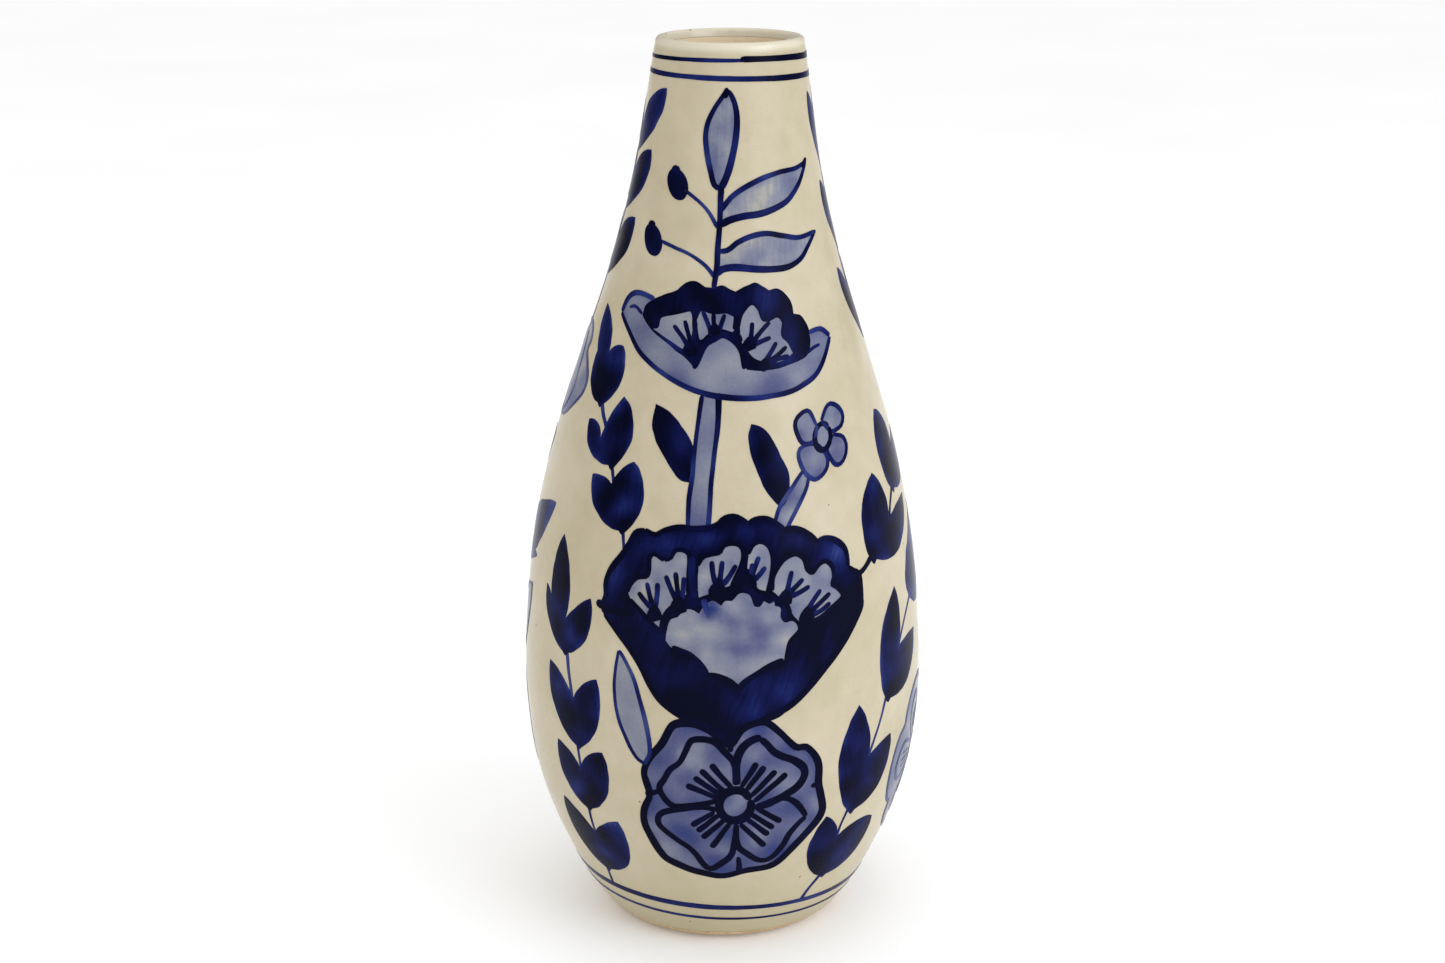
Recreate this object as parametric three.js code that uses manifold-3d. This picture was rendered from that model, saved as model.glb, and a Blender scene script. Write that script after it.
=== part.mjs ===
// Talavera pottery vase: a tall bottle vase thrown in two sections on a turned foot ring, coated
// outside and inside with cream tin glaze and painted with raised cobalt flowers, leaf sprigs and
// bands. Millimetres, +Z up, the foot stands on z = 0 and the front of the painting faces -Y.
import * as THREE from 'three';
import { mergeVertices } from 'three/addons/utils/BufferGeometryUtils.js';
import Module from 'manifold-3d';

const wasm = await Module();
wasm.setup();

// ---- Driving dimensions ------------------------------------------------------------------------

const HEIGHT = 305;
const SEGMENTS = 28;

// Glazed outside of the wall as [height, radius], from the foot to just under the lip.
const PROFILE = [
  [4.3, 42.6], [12, 48], [28, 56.2], [50, 64.2], [80, 68.4], [110, 67.7], [140, 64.3], [170, 57.6],
  [200, 48.4], [230, 38.7], [258, 31.6], [284, 27.2], [300, 24.9], [303.4, 23.9],
];

// Clay wall thickness as [height, thickness].
const WALL = [[12, 9], [22, 7.6], [45, 6.4], [80, 5.5], [155, 5], [230, 4], [275, 3.2], [300, 2.7]];
const INNER_ROWS_LOWER = [24, 60, 110, 150];
const INNER_ROWS_UPPER = [180, 215, 250, 300];

const GLAZE = 0.5;
const COAT_GAP = 0.1;
const CREST_RADIUS = 22.3;
const CLAY_CREST = HEIGHT - 0.8;

const FOOT_HEIGHT = 3.9;
const FOOT_OUTER = 36.1;
const FOOT_INNER = 29;
const FLOOR_HEIGHT = 10;
const BODY_BOTTOM = 4.2;

// The lower and upper thrown sections meet in a scored joint filled with slip.
const JOINT_HEIGHT = 150;
const JOINT_GAP = 0.3;

// The neck drifts a little to +X on its way up.
const LEAN_START = 140;
const LEAN_TOP = 2.45;
const LEAN_POWER = 1.3;

// Painted films stand on the glaze: [lift, thickness].
const DARK_FILM = { lift: 0.1, thickness: 0.2 };
const WASH_FILM = { lift: 0.1, thickness: 0.12 };
const LINE_FILM = { lift: 0.34, thickness: 0.14 };

// Bands as height, width and tilt in degrees.
const BANDS = [
  { name: 'rim_line_upper', height: 300.1, width: 1.6, tilt: 0.6 },
  { name: 'rim_line_lower', height: 294.1, width: 1.8, tilt: 0.3 },
  { name: 'foot_line_upper', height: 18, width: 1.3, tilt: 2.5 },
  { name: 'foot_line_lower', height: 12.2, width: 0.8, tilt: 2.3 },
];

const SAMPLE_STEP = 7;

// ---- Finishes ----------------------------------------------------------------------------------

const finish = (color, roughness) => new THREE.MeshStandardMaterial({ color, roughness, metalness: 0 });
const CLAY = finish('#b5926a', 0.9);
const CREAM_GLAZE = finish('#d3c8b1', 0.2);
const DARK_COBALT = finish('#14163c', 0.22);
const COBALT_WASH = finish('#9098c0', 0.24);
const COBALT_LINE = finish('#1a2058', 0.22);

// ---- The wall's curves -------------------------------------------------------------------------

/** Value at a height, on straight lines between [height, value] stations. */
function between(stations, height) {
  const last = stations.length - 1;
  const next = stations.findIndex(([station]) => station >= height);
  if (next === 0) return stations[0][1];
  if (next < 0) return stations[last][1];
  const [lowHeight, lowValue] = stations[next - 1];
  const [highHeight, highValue] = stations[next];
  const share = (height - lowHeight) / (highHeight - lowHeight);
  return lowValue + share * (highValue - lowValue);
}

const glazedRadius = (height) => between(PROFILE, height);
const clayRadius = (height) => glazedRadius(height) - GLAZE - COAT_GAP;
const boreRadius = (height) => clayRadius(height) - between(WALL, height);

/** Sideways drift of the axis at one of the profile's own heights. */
function leanAtStation(height) {
  const climb = Math.max(0, (height - LEAN_START) / (HEIGHT - LEAN_START));
  return LEAN_TOP * climb ** LEAN_POWER;
}

const LEAN = [...PROFILE.map(([height]) => height), HEIGHT].map((height) => [height, leanAtStation(height)]);

// ---- Solids ------------------------------------------------------------------------------------

/** Turns a closed three.js geometry into a solid that can be joined and cut. */
function solidFrom(geometry) {
  geometry.deleteAttribute('normal');
  geometry.deleteAttribute('uv');
  const merged = mergeVertices(geometry, 1e-4);
  const corners = merged.index.array;
  const kept = [];
  for (let i = 0; i < corners.length; i += 3) {
    const [a, b, c] = [corners[i], corners[i + 1], corners[i + 2]];
    if (a !== b && b !== c && c !== a) kept.push(a, b, c);
  }
  const mesh = new wasm.Mesh({
    numProp: 3,
    vertProperties: new Float32Array(merged.attributes.position.array),
    triVerts: new Uint32Array(kept),
  });
  return new wasm.Manifold(mesh);
}

/** Solid of revolution from a closed loop of [height, radius]: up its inner side, down its outer. */
function lathe(loop) {
  const points = [...loop, loop[0]].reverse().map(([height, radius]) => new THREE.Vector2(radius, height));
  return solidFrom(new THREE.LatheGeometry(points, SEGMENTS).rotateX(Math.PI / 2));
}

/** Named mesh of a solid, with the neck's drift given to its vertices. */
function piece(name, solid, material) {
  const { vertProperties, triVerts } = solid.getMesh();
  const geometry = new THREE.BufferGeometry();
  const positions = new Float32Array(vertProperties);
  for (let i = 0; i < positions.length; i += 3) positions[i] += between(LEAN, positions[i + 2]);
  geometry.setAttribute('position', new THREE.BufferAttribute(positions, 3));
  geometry.setIndex(new THREE.BufferAttribute(new Uint32Array(triVerts), 1));
  geometry.computeVertexNormals();
  const mesh = new THREE.Mesh(geometry, material);
  mesh.name = name;
  return mesh;
}

/** Rows of [height, radius] for a list of heights. */
const rows = (heights, radiusAt) => heights.map((height) => [height, radiusAt(height)]);

// ---- Clay and glaze ----------------------------------------------------------------------------

/** Turned ring that the vase stands on, bare clay with a worn outer edge. */
function footRing() {
  return lathe([
    [0, FOOT_INNER], [1.2, FOOT_INNER - 0.6], [FOOT_HEIGHT, FOOT_INNER + 0.5],
    [FOOT_HEIGHT, 42.1], [2, FOOT_OUTER + 4.6], [0.8, FOOT_OUTER + 3], [0, FOOT_OUTER],
  ]);
}

/** Belly section: a deep bowl with its floor, up to the joint. */
function lowerBody() {
  const outside = PROFILE.map(([height]) => height).filter((height) => height < JOINT_HEIGHT);
  return lathe([
    [FLOOR_HEIGHT, 0], [FLOOR_HEIGHT, 33], [13.5, 39.4],
    ...rows(INNER_ROWS_LOWER, boreRadius),
    ...rows([JOINT_HEIGHT, ...outside.toReversed()], clayRadius),
    [BODY_BOTTOM, clayRadius(BODY_BOTTOM)], [BODY_BOTTOM, 0],
  ]);
}

/** Shoulder, neck and lip section, from the joint up. */
function upperBody() {
  const foot = JOINT_HEIGHT + JOINT_GAP;
  const outside = PROFILE.map(([height]) => height).filter((height) => height > foot && height <= 300);
  return lathe([
    [foot, boreRadius(foot)],
    ...rows(INNER_ROWS_UPPER, boreRadius),
    [303, 21.6], [CLAY_CREST - 0.3, 22.1], [CLAY_CREST - 0.3, 22.6], [302.4, 23.5],
    ...rows([...outside.toReversed(), foot], clayRadius),
  ]);
}

/** Glaze on the outside, from just above the foot ring to the crest of the lip. */
function outerGlaze() {
  const heights = PROFILE.map(([height]) => height);
  const under = heights.filter((height) => height <= 300);
  return lathe([
    ...rows(under, (height) => glazedRadius(height) - GLAZE),
    [302.45, 23.65], [304, 22.85], [304.1, CREST_RADIUS], [HEIGHT, CREST_RADIUS], [304.6, 23.1],
    ...rows(heights.toReversed(), glazedRadius),
  ]);
}

/** Glaze poured inside: one skin down the bore and across the floor. */
function innerGlaze() {
  const heights = [...INNER_ROWS_LOWER, ...INNER_ROWS_UPPER];
  const back = (height) => boreRadius(height) - COAT_GAP;
  const face = (height) => back(height) - GLAZE;
  const top = CREST_RADIUS - COAT_GAP;
  const low = FLOOR_HEIGHT + COAT_GAP;
  return lathe([
    [low + GLAZE, 0], [low + GLAZE, 32.8], [14, 38.8],
    ...rows(heights, face),
    [303.4, 20.9], [304.6, 21.5], [HEIGHT, top], [304.1, top], [303.1, 21.45],
    ...rows(heights.toReversed(), back),
    [13.55, 39.28], [low, 32.96], [low, 0],
  ]);
}

// ---- Painted films -----------------------------------------------------------------------------

/** Thin shell standing on the outer glaze, from which every painted film is cut. */
function filmShell({ lift, thickness }) {
  const heights = PROFILE.map(([height]) => height).slice(0, -1).concat(302.5);
  return lathe([
    ...rows(heights, (height) => glazedRadius(height) + lift),
    ...rows(heights.toReversed(), (height) => glazedRadius(height) + lift + thickness),
  ]);
}

const SHELLS = { dark: filmShell(DARK_FILM), wash: filmShell(WASH_FILM), line: filmShell(LINE_FILM) };

/** Band round the vase: the film between two parallel planes, a little tilted. */
function band({ height, width, tilt }) {
  const slab = new THREE.BoxGeometry(3 * HEIGHT, 3 * HEIGHT, width);
  slab.rotateY(THREE.MathUtils.degToRad(tilt));
  slab.translate(0, 0, height);
  return SHELLS.dark.intersect(solidFrom(slab));
}

/** Points every few millimetres along a spline through [across, height] points. */
function smooth(points) {
  const curve = new THREE.SplineCurve(points.map(([across, height]) => new THREE.Vector2(across, height)));
  const count = Math.max(points.length > 2 ? 3 : 1, Math.round(curve.getLength() / SAMPLE_STEP));
  return curve.getSpacedPoints(count);
}

/** Closed outline of smooth runs that meet in corners. */
const outline = (...runs) => runs.flatMap((run) => smooth(run).slice(0, -1));

/** Outline of a ring-shaped loop: the first point is repeated, so it closes smoothly enough. */
const loop = (points) => outline([...points, points[0]]);

/** Pointed leaf from its base to its tip, bulging left and right of the line between them. */
function leaf([baseX, baseZ], [tipX, tipZ], left, right) {
  const [alongX, alongZ] = [tipX - baseX, tipZ - baseZ];
  const length = Math.hypot(alongX, alongZ);
  const side = (share, bulge) => [
    baseX + share * alongX - (bulge * alongZ) / length,
    baseZ + share * alongZ + (bulge * alongX) / length,
  ];
  const run = (bulge) => [
    [baseX, baseZ], side(0.22, 0.75 * bulge), side(0.5, bulge), side(0.8, 0.68 * bulge), [tipX, tipZ],
  ];
  return outline(run(left), run(-right).reverse());
}

/** Brush stroke along a spline: a strip of one width, blunt at both ends. */
function stroke(points, width) {
  const centre = smooth(points);
  const edge = (sign) => centre.map((point, index) => {
    const before = centre[Math.max(0, index - 1)];
    const after = centre[Math.min(centre.length - 1, index + 1)];
    const along = after.clone().sub(before).normalize();
    return new THREE.Vector2(point.x - (sign * along.y * width) / 2, point.y + (sign * along.x * width) / 2);
  });
  return [...edge(1), ...edge(-1).reverse()];
}

/** Straight cutter through the wall in front of the axis, under an outline in the painting. */
function cutter(points) {
  const flat = points.map(({ x, y }) => {
    const radius = glazedRadius(y);
    return new THREE.Vector2(radius * Math.sin(x / radius), y);
  });
  if (THREE.ShapeUtils.area(flat) < 0) flat.reverse();
  const prism = new THREE.ExtrudeGeometry(new THREE.Shape(flat), { depth: 90, bevelEnabled: false });
  return solidFrom(prism.rotateX(Math.PI / 2));
}

const joined = (solids) => solids.reduce((whole, solid) => whole.add(solid));

/** Painted film: outlines joined, windows cut out, turned to a meridian and cut from a shell. */
function film(shell, meridian, outlines, windows = []) {
  let stencil = joined(outlines.map(cutter));
  if (windows.length) stencil = stencil.subtract(joined(windows.map(cutter)));
  return shell.intersect(stencil.rotate([0, 0, meridian]));
}

// ---- Flowers, in millimetres across from their meridian and up from the foot ---------------------

const ROSETTE_EDGE = [
  [-23.6, 65], [-26.3, 71], [-24, 78.5], [-19, 86], [-15.5, 91], [-8, 91.6], [-1, 88], [2.5, 84.5],
  [7, 90.5], [15, 91.8], [20, 87], [25, 81.9], [30, 80], [33, 72], [34.6, 60], [33.2, 53.4],
  [26, 45], [17, 37], [7, 35.2], [-3, 33.2], [-11, 37], [-20, 40.5], [-26.4, 53],
];
const ROSETTE_INSIDE = [
  [-21.6, 65], [-24, 71], [-21.5, 78.5], [-16.5, 86], [-13.5, 89], [-8, 89.4], [-2, 86], [3, 81.5],
  [7.6, 87.6], [14.4, 89.6], [18.4, 85.6], [23.6, 79.8], [28.4, 77.8], [30.8, 71], [32.2, 60],
  [31, 54.4], [24.4, 46.6], [16, 39.4], [7, 37.6], [-3, 35.6], [-10, 39.2], [-18.6, 42.4], [-24, 54],
];
const ROSETTE_PETALS = [
  [[-1.4, 64.4], [-11.4, 62], [-19.4, 64], [-21, 68], [-14, 78], [-10, 85.6], [-3, 85.5], [3.4, 79], [4.2, 70]],
  [[5, 70], [5, 80], [12.7, 86.6], [18, 80.6], [27.2, 74], [25.6, 68], [11.5, 61.5]],
  [[11.3, 61.2], [19.7, 63.8], [28.5, 55.5], [22.4, 49], [17, 40.6], [9, 42], [4.5, 49.6], [4.7, 55]],
  [[4.5, 55], [3.7, 45], [-3.9, 36.8], [-11.3, 45.4], [-20.6, 52], [-20.3, 58], [-7, 61.7], [-1, 61]],
];
const ROSETTE_TIES = [[[-24.6, 65], [-18.6, 63.6]], [[5.5, 34.6], [4.3, 46]], [[33, 66], [24, 66.4]], [[2.6, 86], [4, 76]]];
const ROSETTE_FILAMENTS = [
  [[2, 67], [-12, 71]], [[3.5, 66], [-4.6, 78]], [[5.4, 66], [12, 78]], [[7.4, 64.4], [21, 73]],
  [[8, 61.5], [19, 54]], [[5.4, 59], [13.4, 46]], [[3, 59.6], [-4, 46]], [[0, 60.5], [-10.4, 54.5]],
];
const ROSETTE_RING = [[-1.5, 62.4], [1, 67.4], [4.2, 69], [8, 67], [10, 62.4], [8, 58], [4.2, 56], [0.5, 57.5]];
const ROSETTE_EYE = [[0.3, 62.4], [2, 66], [5, 66.6], [8, 64], [8, 60.4], [5, 58.2], [1.6, 59.4]];

const POPPY_EDGE = [
  [[-42.4, 126.6], [-40.6, 130.5], [-40.4, 134.5], [-34.2, 144.6], [-31, 149.4], [-29, 153], [-25, 154],
    [-21.8, 153]],
  [[-21.8, 153], [-16, 155.4], [-11.4, 155.4], [-3.6, 155.6], [1.8, 159.4], [7.6, 157.6]],
  [[7.6, 157.6], [12, 158.6], [18, 156.2], [22, 154.4], [27, 153], [31.6, 149.8]],
  [[31.6, 149.8], [36.6, 149.6], [42.2, 145.6], [44.4, 139.4]],
  [[44.4, 139.4], [48.4, 136.6], [49.8, 131], [49.6, 124]],
  [[49.6, 124], [38, 111], [25, 98.4], [15.4, 92.6]],
  [[15.4, 92.6], [0, 92.3], [-12.4, 92.6]],
  [[-12.4, 92.6], [-22, 100.4], [-31, 113.6], [-42.4, 125.6]],
];
const POPPY_WINDOWS = [
  [[-31.4, 133], [-29, 138.4], [-24.4, 139.6], [-23.6, 145.6], [-17, 145.4], [-12, 147.8], [-11, 140],
    [-16.6, 136], [-22, 132.4], [-28, 129.6]],
  [[-7.6, 143], [-5, 147.4], [0, 149], [3.4, 151], [6.6, 147.4], [4.6, 139.6], [-2, 139.6], [-6.4, 135]],
  [[8.6, 146.6], [12, 150.9], [15.3, 146.6], [14, 136], [10.8, 137], [12, 142]],
  [[16.4, 136], [18, 142.6], [24, 146.5], [28.4, 140.6], [33, 142.2], [37.8, 138.6], [37, 134], [31, 131.6],
    [24.6, 127.4], [22.6, 131]],
  [[-18.4, 120], [-16, 126.6], [-6.7, 129.4], [0, 131.6], [6.2, 134.6], [11.4, 131.2], [16.4, 132.4],
    [19, 128], [24.6, 122.4], [20.6, 113], [10.9, 108.5], [5.6, 104.3], [-4.9, 108.6], [-10, 114.7]],
];

const UPPER_BOWL = [
  [[-38.9, 218], [-36.4, 222.8], [-32, 225.6], [-24.4, 224.8]],
  [[-24.4, 224.8], [-9.9, 230.9], [1.5, 228.4], [9.2, 230.6], [16.8, 228.2], [22.5, 221], [28.8, 214.6]],
  [[28.8, 214.6], [33, 214.8], [38.4, 211.2]],
  [[38.4, 211.2], [35, 204], [27, 198], [9, 195], [-8, 197], [-22, 203], [-34.9, 213.6], [-38.9, 218]],
];
const UPPER_WINDOWS = [
  [[-36.8, 218.2], [-34.6, 222.4], [-31, 223.6], [-29, 219], [-26, 214], [-18.8, 209.2], [-11, 204.4],
    [-8, 207.4], [-6, 211.6], [-1.6, 213.8], [2.6, 212.6], [4.8, 208.4], [6, 203.4], [11, 202.2], [20, 202.8],
    [28, 206], [35.6, 210], [33.8, 203.4], [26, 199.4], [9, 196.8], [-8, 198.8], [-21, 204.4], [-31, 211.4]],
  [[-21.4, 218.4], [-15, 220.4], [-9, 223.8], [-5.4, 219], [-9, 213.6], [-14, 212]],
  [[4.4, 217], [8, 223.4], [12, 218.2], [17.4, 219.4], [18.4, 213.4], [22, 209.6], [17, 206.6], [10, 208]],
];

const BLOSSOM_PETALS = [
  [[31, 181], [26.5, 180.3], [23.8, 184], [24, 188.2], [28, 190.4], [31.8, 186.8]],
  [[33.6, 187], [35.9, 190.8], [40, 190.4], [43.4, 186.6], [41.6, 183], [37.4, 182.4]],
  [[37.4, 181.8], [42.4, 180.4], [44.6, 176.4], [41.5, 171.9], [38.4, 172.2], [35.2, 177.4]],
  [[33.4, 178.2], [27.6, 179.8], [24.6, 177], [26.2, 173], [30.9, 168.8], [36, 172.6], [36, 175.6]],
];
const BLOSSOM_EYE = [[30.2, 181.4], [31.6, 186], [35, 187.6], [39, 182.6], [37.4, 177], [33.4, 176.4]];
const BLOSSOM_STEM = [[29, 173.4], [24, 165.6], [18.8, 156.6]];

const MAIN_STEM = [[-4.4, 195.2], [-5.6, 182], [-7, 170], [-7.6, 156.4]];

const BUD_STROKES = [
  { points: [[-3.6, 231], [-2.6, 245], [-2.1, 260]], width: 1.4 },
  { points: [[-2.6, 247.2], [-6.6, 253], [-13, 258.2], [-16.6, 260]], width: 1.1 },
  { points: [[-3.2, 232.2], [-9, 238], [-21.6, 242.4], [-25.6, 242.8]], width: 1.1 },
];
const BUD_LEAVES = [
  leaf([-2.2, 259], [-0.8, 290.6], 5.6, 4.6), leaf([-2.4, 249.4], [30, 267.6], 5.6, 5.2),
  leaf([-2.8, 234.4], [33.6, 244], 8.2, 4.4),
];
const BUD_BERRIES = [leaf([-15.4, 255.8], [-18.6, 265.4], 3.7, 3.7), leaf([-25, 237.6], [-27.2, 247.4], 4, 4)];

/** Four-petalled rosette with filaments: pale wash under a net of dark outlines. */
function rosette(prefix, meridian) {
  const rings = ROSETTE_PETALS.map((petal) => stroke([...petal], 1.7));
  const lines = [
    loop(ROSETTE_RING), ...rings, ...ROSETTE_TIES.map((tie) => stroke(tie, 2)),
    ...ROSETTE_FILAMENTS.map((filament) => stroke(filament, 1.5)),
  ];
  const rim = film(SHELLS.line, meridian, [loop(ROSETTE_EDGE)], [loop(ROSETTE_INSIDE)]);
  const net = film(SHELLS.line, meridian, lines, [loop(ROSETTE_EYE)]);
  return [
    piece(`${prefix}_rosette_wash`, film(SHELLS.wash, meridian, [loop(ROSETTE_EDGE)]), COBALT_WASH),
    piece(`${prefix}_rosette_lines`, rim.add(net), COBALT_LINE),
  ];
}

/** Big open poppy: dark cup with windows that show the pale petals and stamens' ground. */
function poppy(prefix, meridian) {
  const edge = outline(...POPPY_EDGE);
  return [
    piece(`${prefix}_poppy_wash`, film(SHELLS.wash, meridian, [edge]), COBALT_WASH),
    piece(`${prefix}_poppy_lines`, film(SHELLS.line, meridian, [edge], POPPY_WINDOWS.map(loop)), DARK_COBALT),
  ];
}

/** Smaller poppy seen from the side, in a shallow pale bowl. */
function upperPoppy(prefix, meridian) {
  const edge = outline(...UPPER_BOWL);
  return [
    piece(`${prefix}_upper_poppy_wash`, film(SHELLS.wash, meridian, [edge]), COBALT_WASH),
    piece(`${prefix}_upper_poppy_lines`, film(SHELLS.line, meridian, [edge], UPPER_WINDOWS.map(loop)), DARK_COBALT),
  ];
}

/** Small blossom of four petals on its own short stem. */
function blossom(prefix, meridian) {
  const petals = [...BLOSSOM_PETALS, BLOSSOM_EYE].map(loop);
  const outlines = [...petals, stroke(BLOSSOM_STEM, 5)];
  return [piece(`${prefix}_blossom`, film(SHELLS.dark, meridian, outlines), COBALT_WASH)];
}

/** Spray over the upper poppy: three outlined leaves and two berries on one stem. */
function budSpray(prefix, meridian) {
  const stems = BUD_STROKES.map(({ points, width }) => stroke(points, width));
  const outlines = [...stems, ...BUD_LEAVES, ...BUD_BERRIES];
  return [piece(`${prefix}_bud_spray`, film(SHELLS.dark, meridian, outlines), COBALT_LINE)];
}

/** The column of flowers painted on the front and again on the back. */
function flowerColumn(prefix, meridian) {
  const dark = (name, outlines) => piece(`${prefix}_${name}`, film(SHELLS.dark, meridian, outlines), DARK_COBALT);
  const wash = (name, outlines) => piece(`${prefix}_${name}`, film(SHELLS.dark, meridian, outlines), COBALT_WASH);
  return [
    ...rosette(prefix, meridian), ...poppy(prefix, meridian), ...upperPoppy(prefix, meridian),
    ...blossom(prefix, meridian), ...budSpray(prefix, meridian),
    wash('main_stem', [stroke(MAIN_STEM, 7.4)]),
    wash('wash_leaf', [leaf([-27.6, 77], [-35.4, 113.4], 6.4, 5.4)]),
    dark('leaf_left', [leaf([-12.2, 170], [-22.6, 193], 5.6, 4)]),
    dark('leaf_right', [leaf([17.4, 161.8], [8.4, 188], 4.6, 4.8)]),
  ];
}

// ---- Leaf sprigs, each with its own meridian ---------------------------------------------------

const SPRIGS = {
  inner_sprig: {
    meridian: -60,
    leaves: [
      [[7.8, 189], [-5.5, 219.5], 4, 5.4], [[7.8, 189], [11.1, 208.3], 3, 4.4], [[7.8, 189], [-2.8, 201], 2.6, 3],
      [[20.6, 171.3], [17.8, 193.3], 5, 5.2], [[20.6, 171.3], [4.4, 183.9], 3.6, 3.6],
      [[30.6, 151.7], [28.9, 173.9], 5.2, 5], [[30.6, 151.7], [13.3, 167.8], 3.6, 3.6],
    ],
    stems: [[[8.2, 191], [13.6, 183], [20.4, 172.6]], [[20.4, 172.6], [24.4, 164.4], [30.8, 153], [32.6, 148.4]]],
  },
  outer_sprig: {
    meridian: -55,
    leaves: [
      [[5, 108], [-0.8, 145.9], 4.8, 5.6], [[6.1, 106.7], [-8.5, 127], 3.6, 4], [[6.1, 106.7], [16.1, 128.1], 5.4, 4.8],
      [[12.2, 75.2], [-3.3, 102.2], 4.2, 7.4], [[12.2, 75.2], [20.6, 101.1], 7, 4.8],
      [[12.8, 52.2], [0.6, 74.7], 4.5, 7], [[12.8, 52.2], [22.8, 75.9], 7, 5.2],
      [[10, 26.7], [-1.7, 52.4], 5.2, 8.6], [[10, 26.7], [24.4, 50.2], 7.2, 6.4],
    ],
    root: 8.6,
    stems: [[[9.6, 28], [11.6, 42], [12.6, 54], [11.6, 77], [9.6, 94], [7, 108]]],
  },
  lower_sprig: {
    meridian: 50,
    leaves: [
      [[-11.7, 26.1], [-20.3, 53.1], 7.2, 5.4], [[-11.7, 26.1], [4.4, 45.5], 8.4, 5.4],
      [[-9.4, 51.7], [-10.6, 91.7], 7.8, 5.2], [[-9.4, 51.7], [7.3, 75.6], 7.2, 6.2],
      [[4.4, 88.9], [11.4, 126.7], 6.6, 5.2], [[4.4, 88.9], [27.8, 106.7], 8.4, 6.2],
    ],
    root: -16.4,
    stems: [
      [[-12.4, 28], [-12.4, 43], [-10.6, 53]], [[-8, 60], [-4.6, 72.6], [4.4, 91]],
      [[8, 97], [12.8, 107], [17.2, 112.8], [23.6, 119.4]],
    ],
  },
  shoulder_sprig: {
    meridian: 66,
    leaves: [
      [[-17.3, 138], [-10.4, 165.8], 5.4, 6.8], [[-17.3, 138], [13.8, 152.4], 7.4, 7.2],
      [[3.4, 157], [2, 184.2], 5, 8.4], [[3.4, 157], [28, 170], 8, 6],
    ],
    stems: [[[-25.2, 135.8], [-17, 139.6], [-7, 148], [-3, 152.6], [3.6, 158], [7, 165]]],
  },
};

/** Point just above the tilted upper foot line, where a sprig that grows from it begins. */
function footLinePoint(meridian, across) {
  const { height, width, tilt } = BANDS.find(({ name }) => name === 'foot_line_upper');
  const radius = glazedRadius(height);
  const sideways = radius * Math.sin(THREE.MathUtils.degToRad(meridian) + across / radius);
  return [across, height + 0.5 * width + 0.4 - sideways * Math.tan(THREE.MathUtils.degToRad(tilt))];
}

/** Sprig of paired leaves on one stem, which may grow from the upper foot line. */
function sprig(prefix, name, turn) {
  const { meridian, leaves, stems, root } = SPRIGS[name];
  const runs = stems.map((points) => [...points]);
  if (root !== undefined) runs[0].unshift(footLinePoint(meridian + turn, root));
  const outlines = [
    ...leaves.map(([base, tip, left, right]) => leaf(base, tip, left, right)),
    ...runs.map((points) => stroke(points, 1.3)),
  ];
  return piece(`${prefix}_${name}`, film(SHELLS.dark, meridian + turn, outlines), DARK_COBALT);
}

// ---- Side panels -------------------------------------------------------------------------------

const SIDE_FLOWER = [
  [-17, 193], [-19, 204], [-10, 211], [0, 206], [10, 211], [18.6, 204], [16, 196], [19, 188], [9, 179], [0, 184],
  [-9, 179], [-18, 186],
];
const SIDE_ROSETTE = [
  [-26, 66], [-22, 82], [-8, 88], [2, 84], [12, 88], [24, 80], [27, 64], [29, 54], [20, 40], [6, 36], [-2, 38],
  [-14, 35], [-26, 46], [-24, 58],
];

/** Pale flowers and dark leaves that fill the two sides between the flower columns. */
function sidePanels() {
  const wash = (name, meridian, outlines) => piece(name, film(SHELLS.dark, meridian, outlines), COBALT_WASH);
  const dark = (name, meridian, outlines) => piece(name, film(SHELLS.dark, meridian, outlines), DARK_COBALT);
  const neckLeaves = [
    leaf([0, 218], [11, 247], 5, 5), leaf([0, 218], [-11, 247], 5, 5), leaf([0, 244], [9, 270], 4.4, 4.4),
    leaf([0, 244], [-9, 270], 4.4, 4.4), leaf([0, 268], [7, 290], 3.6, 3.6), leaf([0, 268], [-7, 290], 3.6, 3.6),
  ];
  const rightStart = [leaf([-1, 180], [-11, 205], 5, 6), leaf([-1, 180], [11, 205], 5, 6)];
  return [
    wash('left_rosette', -93, [loop(SIDE_ROSETTE)]),
    wash('left_wash_leaf', -93, [leaf([-6, 92], [20, 122], 5, 5)]),
    dark('left_leaf', -93, [leaf([4, 134], [31, 154], 6, 5)]),
    wash('left_flower', -87, [loop(SIDE_FLOWER)]),
    dark('left_neck_sprig', -84, [stroke([[0, 213], [0, 240], [0, 272]], 1.3), ...neckLeaves]),
    dark('right_neck_sprig', 85, [stroke([[-5, 173], [-1, 182], [0, 240], [0, 272]], 1.3), ...rightStart, ...neckLeaves]),
    wash('right_rosette', 88, [loop(SIDE_ROSETTE)]),
    dark('right_leaf', 88, [leaf([0, 118], [-2, 147], 12, 10)]),
  ];
}

// ---- The vase ----------------------------------------------------------------------------------

const vase = new THREE.Group();
vase.add(
  piece('foot_ring', footRing(), CLAY),
  piece('lower_body', lowerBody(), CLAY),
  piece('upper_body', upperBody(), CLAY),
  piece('outer_glaze', outerGlaze(), CREAM_GLAZE),
  piece('inner_glaze', innerGlaze(), CREAM_GLAZE),
  ...BANDS.map((line) => piece(line.name, band(line), COBALT_LINE)),
  ...sidePanels(),
);
for (const [prefix, turn] of [['front', 0], ['back', 180]]) {
  vase.add(...flowerColumn(prefix, turn));
  for (const name of Object.keys(SPRIGS)) vase.add(sprig(prefix, name, turn));
}

export default vase;
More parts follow.
